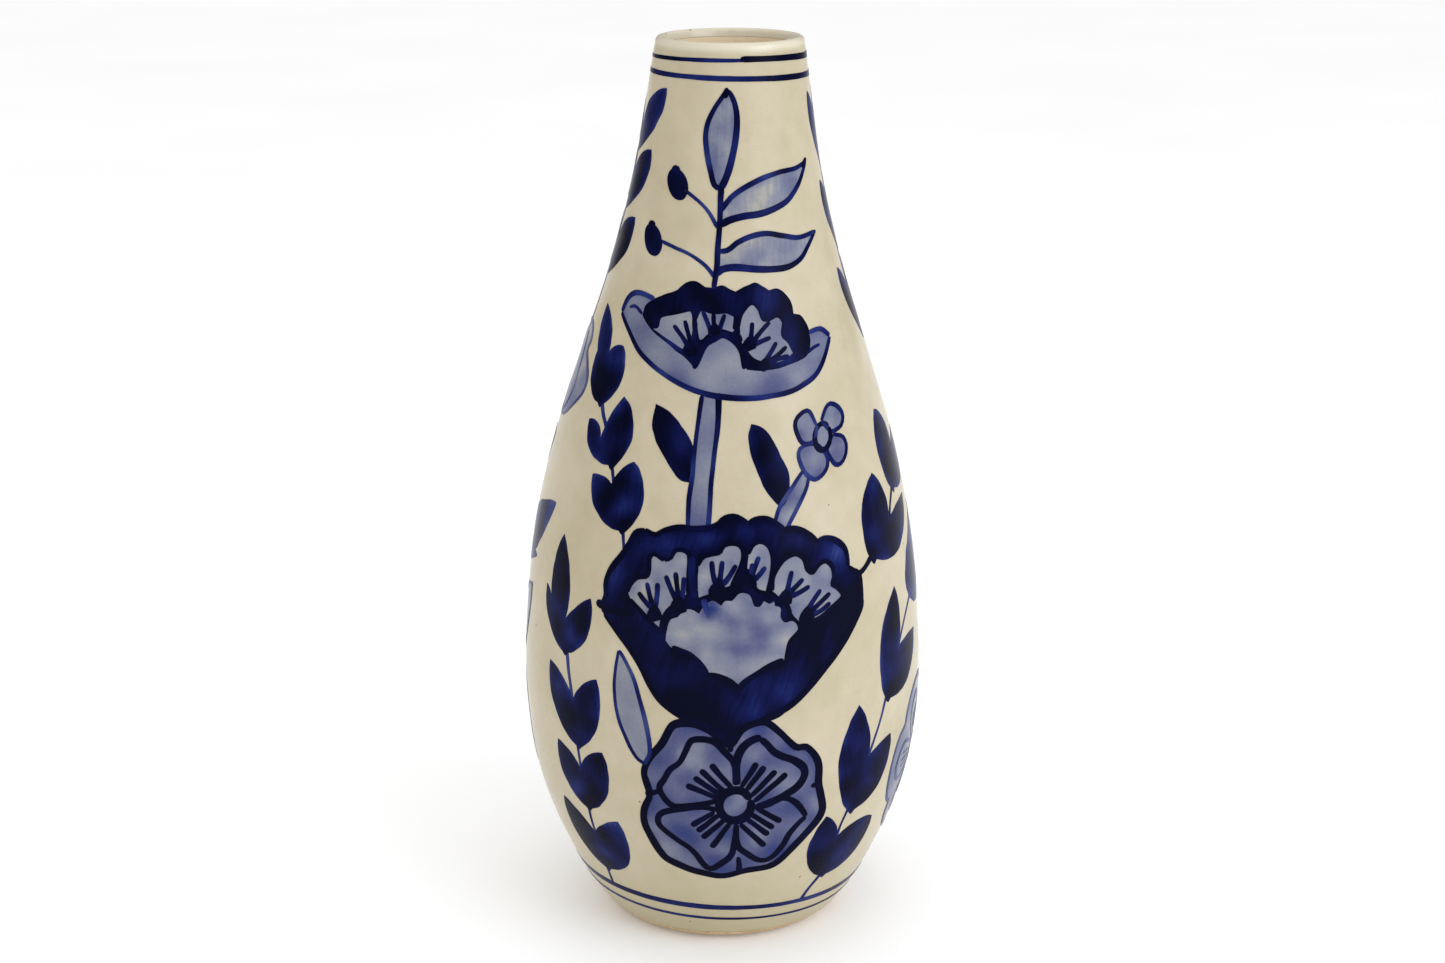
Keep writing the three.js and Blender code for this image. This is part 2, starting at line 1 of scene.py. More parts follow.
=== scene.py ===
"""Talavera pottery vase: thrown body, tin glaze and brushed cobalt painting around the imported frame.

The painting is laid out flat, in millimetres across from a meridian and up from the foot, and is then
wrapped round the thrown body. Every piece rides on the one body of the part and stands for one CAD node.
"""

import logging
import math
import random
from dataclasses import dataclass, field
from enum import Enum
from typing import Callable, ClassVar, Sequence

import bmesh
import bpy
import numpy as np
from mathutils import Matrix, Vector, noise
from mathutils.geometry import interpolate_bezier

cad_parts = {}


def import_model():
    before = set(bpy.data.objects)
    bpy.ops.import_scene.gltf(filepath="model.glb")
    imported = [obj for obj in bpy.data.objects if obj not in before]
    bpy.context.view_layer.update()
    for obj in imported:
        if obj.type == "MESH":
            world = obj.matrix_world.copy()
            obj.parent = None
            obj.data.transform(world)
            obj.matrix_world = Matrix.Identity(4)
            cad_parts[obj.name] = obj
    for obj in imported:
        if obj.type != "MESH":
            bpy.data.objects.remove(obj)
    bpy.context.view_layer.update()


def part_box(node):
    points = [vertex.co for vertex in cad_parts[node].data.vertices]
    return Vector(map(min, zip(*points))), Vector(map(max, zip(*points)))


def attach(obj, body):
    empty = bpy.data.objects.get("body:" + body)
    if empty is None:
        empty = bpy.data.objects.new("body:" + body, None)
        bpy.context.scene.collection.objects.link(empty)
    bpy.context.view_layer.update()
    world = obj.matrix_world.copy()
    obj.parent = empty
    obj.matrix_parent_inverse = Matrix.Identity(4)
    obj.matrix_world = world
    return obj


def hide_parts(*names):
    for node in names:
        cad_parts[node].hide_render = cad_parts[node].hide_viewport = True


log = logging.getLogger("vase")

MM = 0.001
BODY = "root"
GLAZE_IOR = 1.52
CLAY_CREASE_DEG = 42.0
PAINT_CREASE_DEG = 50.0

# Heights over the glaze at which the paint lies, in millimetres, from the first wash to the last stroke.
GROUND_LIFT = 0.06
LEAF_LIFT = 0.12
STROKE_LIFT = 0.14
OVER_LIFT = 0.17

Point = tuple[float, float]
Run = Sequence[Point]


# ---- Colour and node helpers -------------------------------------------------------------------


def linear(hex_colour: str) -> tuple[float, float, float, float]:
    """Turns an sRGB hex colour into linear RGBA.

    Args:
        hex_colour: Six hexadecimal digits.

    Returns:
        Linear red, green, blue and full opacity.
    """
    channels = []
    for start in (0, 2, 4):
        value = int(hex_colour[start : start + 2], 16) / 255
        channels.append(value / 12.92 if value <= 0.04045 else ((value + 0.055) / 1.055) ** 2.4)
    return channels[0], channels[1], channels[2], 1.0


def add_node(
    tree: bpy.types.NodeTree, kind: str, sockets: dict | None = None, **settings: object,
) -> bpy.types.Node:
    """Adds a node with its settings, values and links.

    Args:
        tree: Node tree of a material or world.
        kind: Name of the node type.
        sockets: Input name or index to a value, or to an output socket that is linked to it.
        **settings: Properties of the node.

    Returns:
        The new node.
    """
    node = tree.nodes.new(kind)
    for name, value in settings.items():
        setattr(node, name, value)
    for key, value in (sockets or {}).items():
        if isinstance(value, bpy.types.NodeSocket):
            tree.links.new(value, node.inputs[key])
        else:
            node.inputs[key].default_value = value
    return node


def ramp(
    tree: bpy.types.NodeTree, factor: bpy.types.NodeSocket, stops: Sequence[tuple[float, str]],
) -> bpy.types.NodeSocket:
    """Colours a factor through a colour ramp.

    Args:
        tree: Node tree that gets the ramp.
        factor: Socket that drives it.
        stops: Position and hex colour of each stop, in rising order.

    Returns:
        The ramp's colour output.
    """
    node = add_node(tree, "ShaderNodeValToRGB", {0: factor})
    elements = node.color_ramp.elements
    while len(elements) < len(stops):
        elements.new(0.5)
    for element, (position, colour) in zip(elements, stops):
        element.position = position
        element.color = linear(colour)
    return node.outputs[0]


def math_node(tree: bpy.types.NodeTree, operation: str, *values: object) -> bpy.types.NodeSocket:
    """Adds a Math node and returns its result."""
    node = add_node(tree, "ShaderNodeMath", dict(enumerate(values)), operation=operation)
    return node.outputs[0]


def patches(
    tree: bpy.types.NodeTree, place: bpy.types.NodeSocket, size_mm: float, detail: float = 3.0,
) -> bpy.types.NodeSocket:
    """Noise with patches of a real size.

    Args:
        tree: Node tree that gets the noise.
        place: Vector socket in metres.
        size_mm: Rough width of a patch.
        detail: Octaves of finer noise on top.

    Returns:
        The noise value, 0 to 1 round 0.5.
    """
    settings = {"Vector": place, "Scale": 1 / (size_mm * MM), "Detail": detail, "Roughness": 0.55}
    return add_node(tree, "ShaderNodeTexNoise", settings).outputs[0]


def vary(
    tree: bpy.types.NodeTree, base: object, value: bpy.types.NodeSocket, amount: float,
) -> bpy.types.NodeSocket:
    """Adds a noise value round its middle, times an amount, to a base."""
    centred = math_node(tree, "SUBTRACT", value, 0.5)
    return math_node(tree, "MULTIPLY_ADD", centred, amount, base)


def mix_colour(
    tree: bpy.types.NodeTree, factor: object, first: object, second: object,
) -> bpy.types.NodeSocket:
    """Mixes two colours by a factor and returns the colour output."""
    node = add_node(tree, "ShaderNodeMix", {0: factor, 6: first, 7: second}, data_type="RGBA")
    return node.outputs[2]


# ---- Finishes ----------------------------------------------------------------------------------


@dataclass(frozen=True)
class TinGlaze:
    """Opaque tin glaze over buff clay, dipped and fired glossy.

    It gives the eye a warm cream that drifts in tone, a greener pool near the foot, faint crazing, a few
    pinholes and iron specks, a soft orange-peel gloss, and a painted highlight: a paler cream mixed in at
    the crest of the lip, which is also glossier there.
    """

    name: str = "tin_glaze_cream"
    thin: str = "b3a88c"
    thick: str = "c0b59c"
    pooled: str = "b0a584"
    craze: str = "9c9176"
    # crest: paler cream painted on the lip's crest as a highlight.
    crest: str = "d9d0ba"
    speck: str = "6b4d2c"
    craze_cell_mm: float = 3.2
    peel_mm: float = 5.0
    pool_height_mm: float = 46.0
    crest_height_mm: float = 301.2

    def build(self) -> bpy.types.Material:
        """Builds the glaze.

        Returns:
            The material.
        """
        material = bpy.data.materials.new(self.name)
        material.use_nodes = True
        tree = material.node_tree
        shader = tree.nodes["Principled BSDF"]
        place = add_node(tree, "ShaderNodeTexCoord").outputs["Object"]

        tone = vary(tree, patches(tree, place, 30, 4), patches(tree, place, 6, 3), 0.35)
        colour = ramp(tree, tone, [(0.3, self.thin), (0.66, self.thick)])

        height = add_node(tree, "ShaderNodeSeparateXYZ", {0: place}).outputs[2]
        drift = vary(tree, height, patches(tree, place, 16, 2), 0.012)
        sockets = {
            "Value": drift, "From Min": 0.0, "From Max": self.pool_height_mm * MM, "To Min": 0.75,
            "To Max": 0.0,
        }
        pool = add_node(tree, "ShaderNodeMapRange", sockets, interpolation_type="SMOOTHSTEP").outputs[0]
        colour = mix_colour(tree, pool, colour, linear(self.pooled))
        # Painted highlight: towards the crest of the lip the cream is mixed with the paler crest colour, as
        # if the upward-facing lip caught more light; the same ramp raises the gloss there.
        sockets = {
            "Value": height, "From Min": self.crest_height_mm * MM,
            "From Max": (self.crest_height_mm + 2.6) * MM,
        }
        crest = add_node(tree, "ShaderNodeMapRange", sockets, interpolation_type="SMOOTHSTEP").outputs[0]
        colour = mix_colour(tree, math_node(tree, "MULTIPLY", crest, 0.85), colour, linear(self.crest))

        warp = add_node(tree, "ShaderNodeTexNoise", {"Vector": place, "Scale": 160.0})
        bent = add_node(
            tree, "ShaderNodeVectorMath", {0: warp.outputs["Color"], 1: (0.0012, 0.0012, 0.0012)},
            operation="MULTIPLY",
        )
        bent = add_node(
            tree, "ShaderNodeVectorMath", {0: bent.outputs[0], 1: place}, operation="ADD",
        ).outputs[0]
        cells = add_node(
            tree, "ShaderNodeTexVoronoi", {"Vector": bent, "Scale": 1 / (self.craze_cell_mm * MM)},
            feature="DISTANCE_TO_EDGE",
        )
        crack = add_node(
            tree, "ShaderNodeMapRange",
            {"Value": cells.outputs[0], "From Max": 0.045, "To Min": 0.16, "To Max": 0.0},
        ).outputs[0]
        fade = ramp(tree, patches(tree, place, 22, 2), [(0.42, "000000"), (0.62, "ffffff")])
        crack = math_node(tree, "MULTIPLY", crack, fade)
        colour = mix_colour(tree, crack, colour, linear(self.craze))

        for size_mm, reach, keep, strength in ((9.0, 0.045, 0.72, 0.75), (26.0, 0.028, 0.5, 0.8)):
            dots = add_node(tree, "ShaderNodeTexVoronoi", {"Vector": place, "Scale": 1 / (size_mm * MM)})
            near = math_node(tree, "LESS_THAN", dots.outputs["Distance"], reach)
            lucky = math_node(
                tree, "GREATER_THAN",
                add_node(tree, "ShaderNodeSeparateColor", {0: dots.outputs["Color"]}).outputs[0], keep,
            )
            spot = math_node(tree, "MULTIPLY", math_node(tree, "MULTIPLY", near, lucky), strength)
            colour = mix_colour(tree, spot, colour, linear(self.speck))

        peel = vary(tree, patches(tree, place, self.peel_mm, 1), patches(tree, place, 1.1, 2), 0.12)
        bump = add_node(
            tree, "ShaderNodeBump", {"Height": peel, "Strength": 0.12, "Distance": 0.0004},
        ).outputs[0]
        rough = add_node(
            tree, "ShaderNodeMapRange",
            {"Value": patches(tree, place, 14, 3), "To Min": 0.17, "To Max": 0.3},
        ).outputs[0]
        tree.links.new(colour, shader.inputs["Base Color"])
        tree.links.new(bump, shader.inputs["Normal"])
        tree.links.new(rough, shader.inputs["Roughness"])
        gloss = add_node(
            tree, "ShaderNodeMapRange", {"Value": crest, "To Min": 0.12, "To Max": 0.7},
        ).outputs[0]
        tree.links.new(gloss, shader.inputs["Specular IOR Level"])
        shader.inputs["IOR"].default_value = GLAZE_IOR
        return material


@dataclass(frozen=True)
class BareClay:
    """Buff earthenware left unglazed and wiped with a sponge: matt, gritty and a little dusty."""

    name: str = "buff_earthenware_bare"
    body: str = "bb9a70"
    pale: str = "cdb48d"
    grit: str = "7a5a3a"

    def build(self) -> bpy.types.Material:
        """Builds the clay.

        Returns:
            The material.
        """
        material = bpy.data.materials.new(self.name)
        material.use_nodes = True
        tree = material.node_tree
        shader = tree.nodes["Principled BSDF"]
        place = add_node(tree, "ShaderNodeTexCoord").outputs["Object"]
        tone = vary(tree, patches(tree, place, 12, 5), patches(tree, place, 1.2, 3), 0.5)
        colour = ramp(tree, tone, [(0.3, self.body), (0.7, self.pale)])
        grains = add_node(tree, "ShaderNodeTexVoronoi", {"Vector": place, "Scale": 1 / (1.8 * MM)})
        dark = math_node(
            tree, "MULTIPLY", math_node(tree, "LESS_THAN", grains.outputs["Distance"], 0.22), 0.5,
        )
        colour = mix_colour(tree, dark, colour, linear(self.grit))
        bump = add_node(
            tree, "ShaderNodeBump",
            {"Height": patches(tree, place, 0.9, 4), "Strength": 0.5, "Distance": 0.0002},
        )
        tree.links.new(colour, shader.inputs["Base Color"])
        tree.links.new(bump.outputs[0], shader.inputs["Normal"])
        shader.inputs["Roughness"].default_value = 0.88
        return material


@dataclass(frozen=True)
class Cobalt:
    """Cobalt oxide brushed on the glaze and fired into it, so it shares the glaze's gloss.

    How much colour the brush left is the piece's own attribute "load", from thin periwinkle wash to a
    nearly black navy. The attribute "brush" runs across and along each stroke, and gives its streaks.
    """

    name: str
    streak: float
    mottle: float
    patch_mm: float
    stops: ClassVar[tuple[tuple[float, str], ...]] = (
        (0.0, "9a978f"),
        (0.07, "82848e"),
        (0.14, "737788"),
        (0.27, "575b79"),
        (0.4, "3d446c"),
        (0.52, "29356c"),
        (0.64, "182258"),
        (0.76, "0e1545"),
        (0.88, "080c30"),
        (1.0, "05071c"),
    )

    def build(self) -> bpy.types.Material:
        """Builds the painted finish.

        Returns:
            The material.
        """
        material = bpy.data.materials.new(self.name)
        material.use_nodes = True
        tree = material.node_tree
        shader = tree.nodes["Principled BSDF"]
        place = add_node(tree, "ShaderNodeTexCoord").outputs["Object"]
        load = add_node(tree, "ShaderNodeAttribute", attribute_name="load").outputs["Fac"]
        brush = add_node(tree, "ShaderNodeAttribute", attribute_name="brush").outputs["Vector"]
        hairs = add_node(tree, "ShaderNodeMapping", {"Vector": brush, "Scale": (1.1, 0.09, 1.0)}).outputs[0]
        streaks = add_node(
            tree, "ShaderNodeTexNoise", {"Vector": hairs, "Scale": 1.0, "Detail": 3.0},
        ).outputs[0]
        load = vary(tree, load, streaks, self.streak)
        load = vary(tree, load, patches(tree, place, self.patch_mm, 4), self.mottle)
        load = vary(tree, load, patches(tree, place, 0.8, 2), 0.08)
        colour = ramp(tree, load, self.stops)
        peel = patches(tree, place, 5, 1)
        bump = add_node(
            tree, "ShaderNodeBump", {"Height": peel, "Strength": 0.1, "Distance": 0.0004},
        ).outputs[0]
        tree.links.new(colour, shader.inputs["Base Color"])
        tree.links.new(bump, shader.inputs["Normal"])
        shader.inputs["Roughness"].default_value = 0.22
        shader.inputs["IOR"].default_value = GLAZE_IOR
        shader.inputs["Specular IOR Level"].default_value = 0.03
        return material


@dataclass(frozen=True)
class PaperSweep:
    """Matt white studio paper, evenly lit, with only a breath of tone in it.

    Attributes:
        name: Material name.
        glow: Light that it adds of its own, which keeps shadows on it faint.
    """

    name: str = "studio_paper_white"
    glow: float = 0.07

    def build(self) -> bpy.types.Material:
        """Builds the paper.

        Returns:
            The material.
        """
        material = bpy.data.materials.new(self.name)
        material.use_nodes = True
        tree = material.node_tree
        shader = tree.nodes["Principled BSDF"]
        place = add_node(tree, "ShaderNodeTexCoord").outputs["Object"]
        colour = ramp(tree, patches(tree, place, 300, 2), [(0.2, "fafafa"), (0.8, "ffffff")])
        tree.links.new(colour, shader.inputs["Base Color"])
        shader.inputs["Roughness"].default_value = 0.9
        shader.inputs["Emission Color"].default_value = (1.0, 1.0, 1.0, 1.0)
        shader.inputs["Emission Strength"].default_value = self.glow
        return material


class Finish(Enum):
    """Finish of a piece, by the record's slot it is taken from."""

    CLAY = "bare_clay"
    GLAZE = "cream_glaze"
    INSIDE = "cream_glaze_inside"
    DARK = "dark_cobalt"
    LINE = "cobalt_line"
    WASH = "cobalt_wash"

    @property
    def slot(self) -> str:
        """The record's slot; the glaze inside shares the outer glaze's."""
        return Finish.GLAZE.value if self is Finish.INSIDE else self.value


class Palette:
    """Builds each finish once and hands it to the pieces."""

    def __init__(self) -> None:
        """Builds the materials of every slot."""
        self.materials = {
            Finish.CLAY: BareClay().build(),
            Finish.GLAZE: TinGlaze().build(),
            # Painted light: the inside glaze is a much paler copy of the outer cream, which brightens the
            # shaded bore of the neck.
            Finish.INSIDE: TinGlaze("tin_glaze_inside_painted_light", thin="ebd6b2", thick="f2e0c2").build(),
            Finish.DARK: Cobalt("cobalt_full_brush", streak=0.22, mottle=0.2, patch_mm=7).build(),
            Finish.LINE: Cobalt("cobalt_liner_brush", streak=0.14, mottle=0.22, patch_mm=5).build(),
            Finish.WASH: Cobalt("cobalt_wash_brush", streak=0.03, mottle=0.16, patch_mm=9).build(),
        }

    def dress(self, piece: bpy.types.Object, finish: Finish, node: str) -> bpy.types.Object:
        """Gives a piece its finish and its body, and hides the CAD node that it stands for.

        Args:
            piece: Finished mesh object, at the origin.
            finish: Slot of the record.
            node: Name of the CAD node that it replaces.

        Returns:
            The piece.
        """
        piece.data.materials.append(self.materials[finish])
        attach(piece, BODY)
        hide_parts(node)
        log.info("%s: %d faces", piece.name, len(piece.data.polygons))
        return piece


# ---- Form --------------------------------------------------------------------------------------


@dataclass
class VaseForm:
    """Glazed outside of the thrown wall, fitted to the CAD glaze's own box.

    Attributes:
        stations: Height and radius of the glazed outside, in millimetres, from the foot to the lip.
        widest: Largest radius among the stations, which the CAD glaze's box sets the size of.
        lean_start: Height where the axis starts to drift to +X.
        lean_top: Drift at the lip.
        lean_power: How fast the drift grows.
        ripple: Depth of the throwing rings left by the fingers.
        top: Height of the crest of the lip.
        heights: Heights of the smooth profile.
        radii: Radius at each of those heights.
    """

    stations: tuple[Point, ...] = (
        (4.3, 42.6), (12, 48), (28, 56.2), (50, 64.2), (80, 68.4), (110, 67.7), (140, 64.3), (170, 57.6),
        (200, 48.4), (230, 38.7), (258, 31.6), (284, 27.2), (300, 24.9), (303.4, 24.35),
    )
    widest: float = 68.4
    lean_start: float = 140.0
    lean_top: float = 2.45
    lean_power: float = 1.3
    ripple: float = 0.07
    top: float = field(init=False)
    heights: np.ndarray = field(init=False)
    radii: np.ndarray = field(init=False)

    def __post_init__(self) -> None:
        """Samples a smooth profile through the stations, scaled to the CAD glaze."""
        low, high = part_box("outer_glaze")
        self.top = high[2] / MM
        scale = (high[1] - low[1]) / 2 / MM / self.widest
        knots = np.array(self.stations)
        slopes = np.gradient(knots[:, 1], knots[:, 0])
        self.heights = np.linspace(knots[0, 0], knots[-1, 0], 1200)
        spans = np.clip(np.searchsorted(knots[:, 0], self.heights) - 1, 0, len(knots) - 2)
        step = knots[spans + 1, 0] - knots[spans, 0]
        t = (self.heights - knots[spans, 0]) / step
        self.radii = scale * (
            (2 * t**3 - 3 * t**2 + 1) * knots[spans, 1]
            + (t**3 - 2 * t**2 + t) * step * slopes[spans]
            + (3 * t**2 - 2 * t**3) * knots[spans + 1, 1]
            + (t**3 - t**2) * step * slopes[spans + 1]
        )
        rings = [noise.noise(Vector((height / 6.5, 3.7, 0.0))) for height in self.heights]
        self.radii += self.ripple * np.array(rings)

    def radius(self, height: np.ndarray | float) -> np.ndarray:
        """Radius of the glazed outside at a height, in millimetres."""
        return np.interp(height, self.heights, self.radii)

    def lean(self, height: np.ndarray | float) -> np.ndarray:
        """Drift of the axis to +X at a height, in millimetres."""
        climb = np.clip((np.asarray(height) - self.lean_start) / (self.top - self.lean_start), 0, None)
        return self.lean_top * climb**self.lean_power

    def settle(self, mesh: bpy.types.Mesh) -> None:
        """Leans a turned mesh with the axis and scales it from millimetres to metres.

        Args:
            mesh: Mesh turned round the upright axis, in millimetres.
        """
        points = np.empty(len(mesh.vertices) * 3)
        mesh.vertices.foreach_get("co", points)
        points = points.reshape(-1, 3)
        points[:, 0] += self.lean(points[:, 2])
        mesh.vertices.foreach_set("co", (points * MM).ravel())
        mesh.update()

    def wrap(self, mesh: bpy.types.Mesh, meridian: float) -> None:
        """Wraps a flat painting round the body.

        Args:
            mesh: Mesh with x across from the meridian, y up from the foot and z proud of the glaze, in mm.
            meridian: Angle of the painting's middle, in degrees from the front towards +X.
        """
        points = np.empty(len(mesh.vertices) * 3)
        mesh.vertices.foreach_get("co", points)
        across, height, lift = points.reshape(-1, 3).T
        radius = self.radius(height)
        slope = (self.radius(height + 1) - self.radius(height - 1)) / 2
        upright = 1 / np.sqrt(1 + slope**2)
        angle = math.radians(meridian) + across / radius
        reach = radius + lift * upright
        wrapped = np.stack(
            [
                reach * np.sin(angle) + self.lean(height), -reach * np.cos(angle),
                height - lift * slope * upright,
            ],
            axis=1,
        )
        mesh.vertices.foreach_set("co", (wrapped * MM).ravel())
        mesh.update()


def as_object(
    name: str, bm: bmesh.types.BMesh, shape: Callable[[bpy.types.Mesh], None], sharp_deg: float,
) -> bpy.types.Object:
    """Makes an object of a bmesh and gives it its place.

    Args:
        name: Name of the piece.
        bm: Geometry in millimetres, which is freed.
        shape: Call that moves the mesh's points into place, in metres.
        sharp_deg: Edges that turn by more than this stay crisp.

    Returns:
        The object, linked to the scene.
    """
    mesh = bpy.data.meshes.new(name)
    bm.to_mesh(mesh)
    bm.free()
    shape(mesh)
    mesh.shade_smooth()
    mesh.set_sharp_from_angle(angle=math.radians(sharp_deg))
    piece = bpy.data.objects.new(name, mesh)
    bpy.context.scene.collection.objects.link(piece)
    return piece


# ---- Thrown body -------------------------------------------------------------------------------


@dataclass
class ThrownBody:
    """Foot ring, the two thrown sections and the glaze outside and inside, each a full spin.

    Attributes:
        form: Outside of the vase.
        palette: Finishes.
        steps: Facets round a spin.
        pitch: Distance between rows, in millimetres.
        glaze: Thickness of the glaze.
        gap: Clearance between the clay and the glaze.
        joint: Height where the lower and upper sections meet.
        joint_gap: Width of the joint.
        floor: Height of the floor inside.
        bottom: Height where the glazed wall starts.
        wall: Height and thickness of the clay wall.
    """

    form: VaseForm
    palette: Palette
    steps: int = 192
    pitch: float = 2.4
    glaze: float = 0.5
    gap: float = 0.1
    joint: float = 150.0
    joint_gap: float = 0.3
    floor: float = 10.0
    bottom: float = 4.3
    wall: tuple[Point, ...] = (
        (12, 9), (22, 7.6), (45, 6.4), (80, 5.5), (155, 5), (230, 4), (275, 3.2), (300, 2.7),
    )

    def build(self) -> None:
        """Builds and dresses the five pieces."""
        self._turn("foot_ring", self._foot_rows(), Finish.CLAY)
        self._turn("lower_body", self._lower_rows(), Finish.CLAY)
        self._turn("upper_body", self._upper_rows(), Finish.CLAY)
        self._turn("outer_glaze", self._outer_rows(), Finish.GLAZE)
        self._turn("inner_glaze", self._inner_rows(), Finish.INSIDE)

    def _rows(self, low: float, high: float, inset: Callable[[float], float]) -> list[Point]:
        """Lists rows up the wall, a given depth inside the glazed outside.

        Args:
            low: Height of the first row.
            high: Height of the last row.
            inset: Depth at a height.

        Returns:
            Radius and height of each row.
        """
        count = max(2, round((high - low) / self.pitch))
        heights = [low + (high - low) * i / count for i in range(count + 1)]
        return [(float(self.form.radius(height)) - inset(height), height) for height in heights]

    def _under(self, height: float) -> float:
        """Depth of the clay's outer face under the glazed outside, the same at every height."""
        return self.glaze + self.gap

    def _bore(self, height: float) -> float:
        """Depth of the clay's inner face under the glazed outside."""
        stations = np.array(self.wall)
        return self.glaze + self.gap + float(np.interp(height, stations[:, 0], stations[:, 1]))

    def _foot_rows(self) -> list[Point]:
        """Sets out the turned foot ring: rounded tread, undercut outside, chamfer inside.

        Returns:
            Radius and height of the section's corners.
        """
        tread = [
            (32.5 + 3.3 * math.sin(a), 1.3 - 1.3 * math.cos(a))
            for a in np.radians(range(-80, 81, 16))
        ]
        outside = [(38.2, 1.1), (40.1, 2.0), (41.4, 3.0), (42.0, 3.9)]
        inside = [(29.6, 3.9), (28.9, 2.6)]
        return [*inside, *tread, *outside]

    def _lower_rows(self) -> list[Point]:
        """Sets out the lower body: outside up to the joint, then down the bore to the floor.

        Returns:
            Radius and height of the section's corners.
        """
        bore = self._rows(24, self.joint, self._bore)[::-1]
        base = [(0, 5.1), (12, 5.0), (24, 4.7), (29.4, 4.2), (41.8, 4.2)]
        corner = [(43.6, 19.0), (40.6, 14.6), (36.6, 11.7), (31.5, 10.4), (16, self.floor), (0, self.floor)]
        return [*base, *self._rows(self.bottom, self.joint, self._under), *bore, *corner]

    def _upper_rows(self) -> list[Point]:
        """Sets out the upper body, from the joint to the lip.

        Returns:
            Radius and height of the section's corners.
        """
        foot = self.joint + self.joint_gap
        lip = [(23.4, 302.5), (22.9, 303.7), (22.3, 304.2), (21.85, 303.9), (21.6, 303.1)]
        return [*self._rows(foot, 300, self._under), *lip, *self._rows(foot, 299, self._bore)[::-1]]

    def _outer_rows(self) -> list[Point]:
        """Sets out the outside glaze, with the rounded crest of the lip.

        Returns:
            Radius and height of the section's corners.
        """
        crest, base = self.form.top, 303.2
        middle, outward, inward = 22.7, 1.7, 1.3
        arc = np.radians(range(0, 181, 12))
        edge = [
            (
                middle + (outward if a < math.pi / 2 else inward) * math.cos(a),
                base + (crest - base) * math.sin(a),
            )
            for a in arc
        ]
        back = self._rows(self.bottom, 301.5, lambda height: self.glaze)[::-1]
        under = [
            (21.1, 302.4), (21.55, 302.4), (21.6, 303.1), (21.9, 304.0), (22.4, 304.32), (23.1, 303.85),
            (23.7, 302.7),
        ]
        return [*self._rows(self.bottom, 303.0, lambda height: 0.0), *edge, *under, *back]

    def _inner_rows(self) -> list[Point]:
        """Sets out the inside glaze: down the bore and across the floor.

        Returns:
            Radius and height of the section's corners.
        """
        face = self._rows(24, 298, lambda height: self._bore(height) + self.gap + self.glaze)[::-1]
        back = self._rows(24, 298, lambda height: self._bore(height) + self.gap)
        corner = [(42.0, 18.2), (39.6, 14.9), (35.8, 12.3), (31, 11.1), (16, 10.7), (0, 10.6)]
        under = [(0, 10.1), (16, 10.1), (31.3, 10.5), (36.3, 11.8), (40.3, 14.7), (43.0, 18.6)]
        return [(21.4, 302.3), (21.0, 302.3), *face, *corner, *under, *back]

    def _turn(self, node: str, rows: Sequence[Point], finish: Finish) -> bpy.types.Object:
        """Spins a closed section round the axis.

        Args:
            node: CAD node that the piece stands for.
            rows: Radius and height of the section's corners, in millimetres.
            finish: Finish of the piece.

        Returns:
            The dressed piece.
        """
        bm = bmesh.new()
        corners = [bm.verts.new((radius, 0.0, height)) for radius, height in rows]
        on_axis = abs(rows[0][0]) < 1e-6 and abs(rows[-1][0]) < 1e-6
        ends = corners[1:] if on_axis else [*corners[1:], corners[0]]
        edges = [bm.edges.new(pair) for pair in zip(corners, ends)]
        bmesh.ops.spin(
            bm, geom=[*corners, *edges], cent=(0, 0, 0), axis=(0, 0, 1), angle=math.tau, steps=self.steps,
            use_merge=True,
        )
        bmesh.ops.remove_doubles(bm, verts=bm.verts[:], dist=0.001)
        bmesh.ops.recalc_face_normals(bm, faces=bm.faces[:])
        piece = as_object(f"{node}_thrown", bm, self.form.settle, CLAY_CREASE_DEG)
        return self.palette.dress(piece, finish, node)


# ---- Brushwork ---------------------------------------------------------------------------------


def spline(points: Run, step: float = 0.9, closed: bool = False) -> list[Vector]:
    """Samples a smooth curve that passes through every point.

    Args:
        points: Corners of the curve, in millimetres.
        step: Rough distance between samples.
        closed: Whether the curve runs back into its start.

    Returns:
        Samples in the plane of the painting.
    """
    knots = [Vector((x, y, 0.0)) for x, y in points]
    count = len(knots)

    def pull(index: int) -> Vector:
        """Finds the direction of the curve at a corner, longer where its neighbours lie unevenly.

        Args:
            index: Place of the corner in the run.

        Returns:
            Tangent of about unit length.
        """
        before = knots[(index - 1) % count] if closed or index > 0 else knots[index]
        after = knots[(index + 1) % count] if closed or index < count - 1 else knots[index]
        reach = (knots[index] - before).length + (after - knots[index]).length
        return (after - before) / max(reach, 1e-6)

    path: list[Vector] = []
    for index in range(count if closed else count - 1):
        start, end = knots[index], knots[(index + 1) % count]
        span = (end - start).length
        samples = max(3, round(span / step) + 1)
        handles = start + pull(index) * span / 3, end - pull((index + 1) % count) * span / 3
        path.extend(interpolate_bezier(start, *handles, end, samples)[:-1])
    if not closed:
        path.append(knots[-1])
    return path


def outline(*runs: Run) -> list[Vector]:
    """Closed outline of smooth runs that meet in corners; one run alone closes smoothly."""
    if len(runs) == 1:
        return spline(runs[0], closed=True)
    path: list[Vector] = []
    for index, run in enumerate(runs):
        following = runs[(index + 1) % len(runs)][0]
        run = run if run[-1] == following else (*run, following)
        path.extend(spline(run)[:-1])
    return path


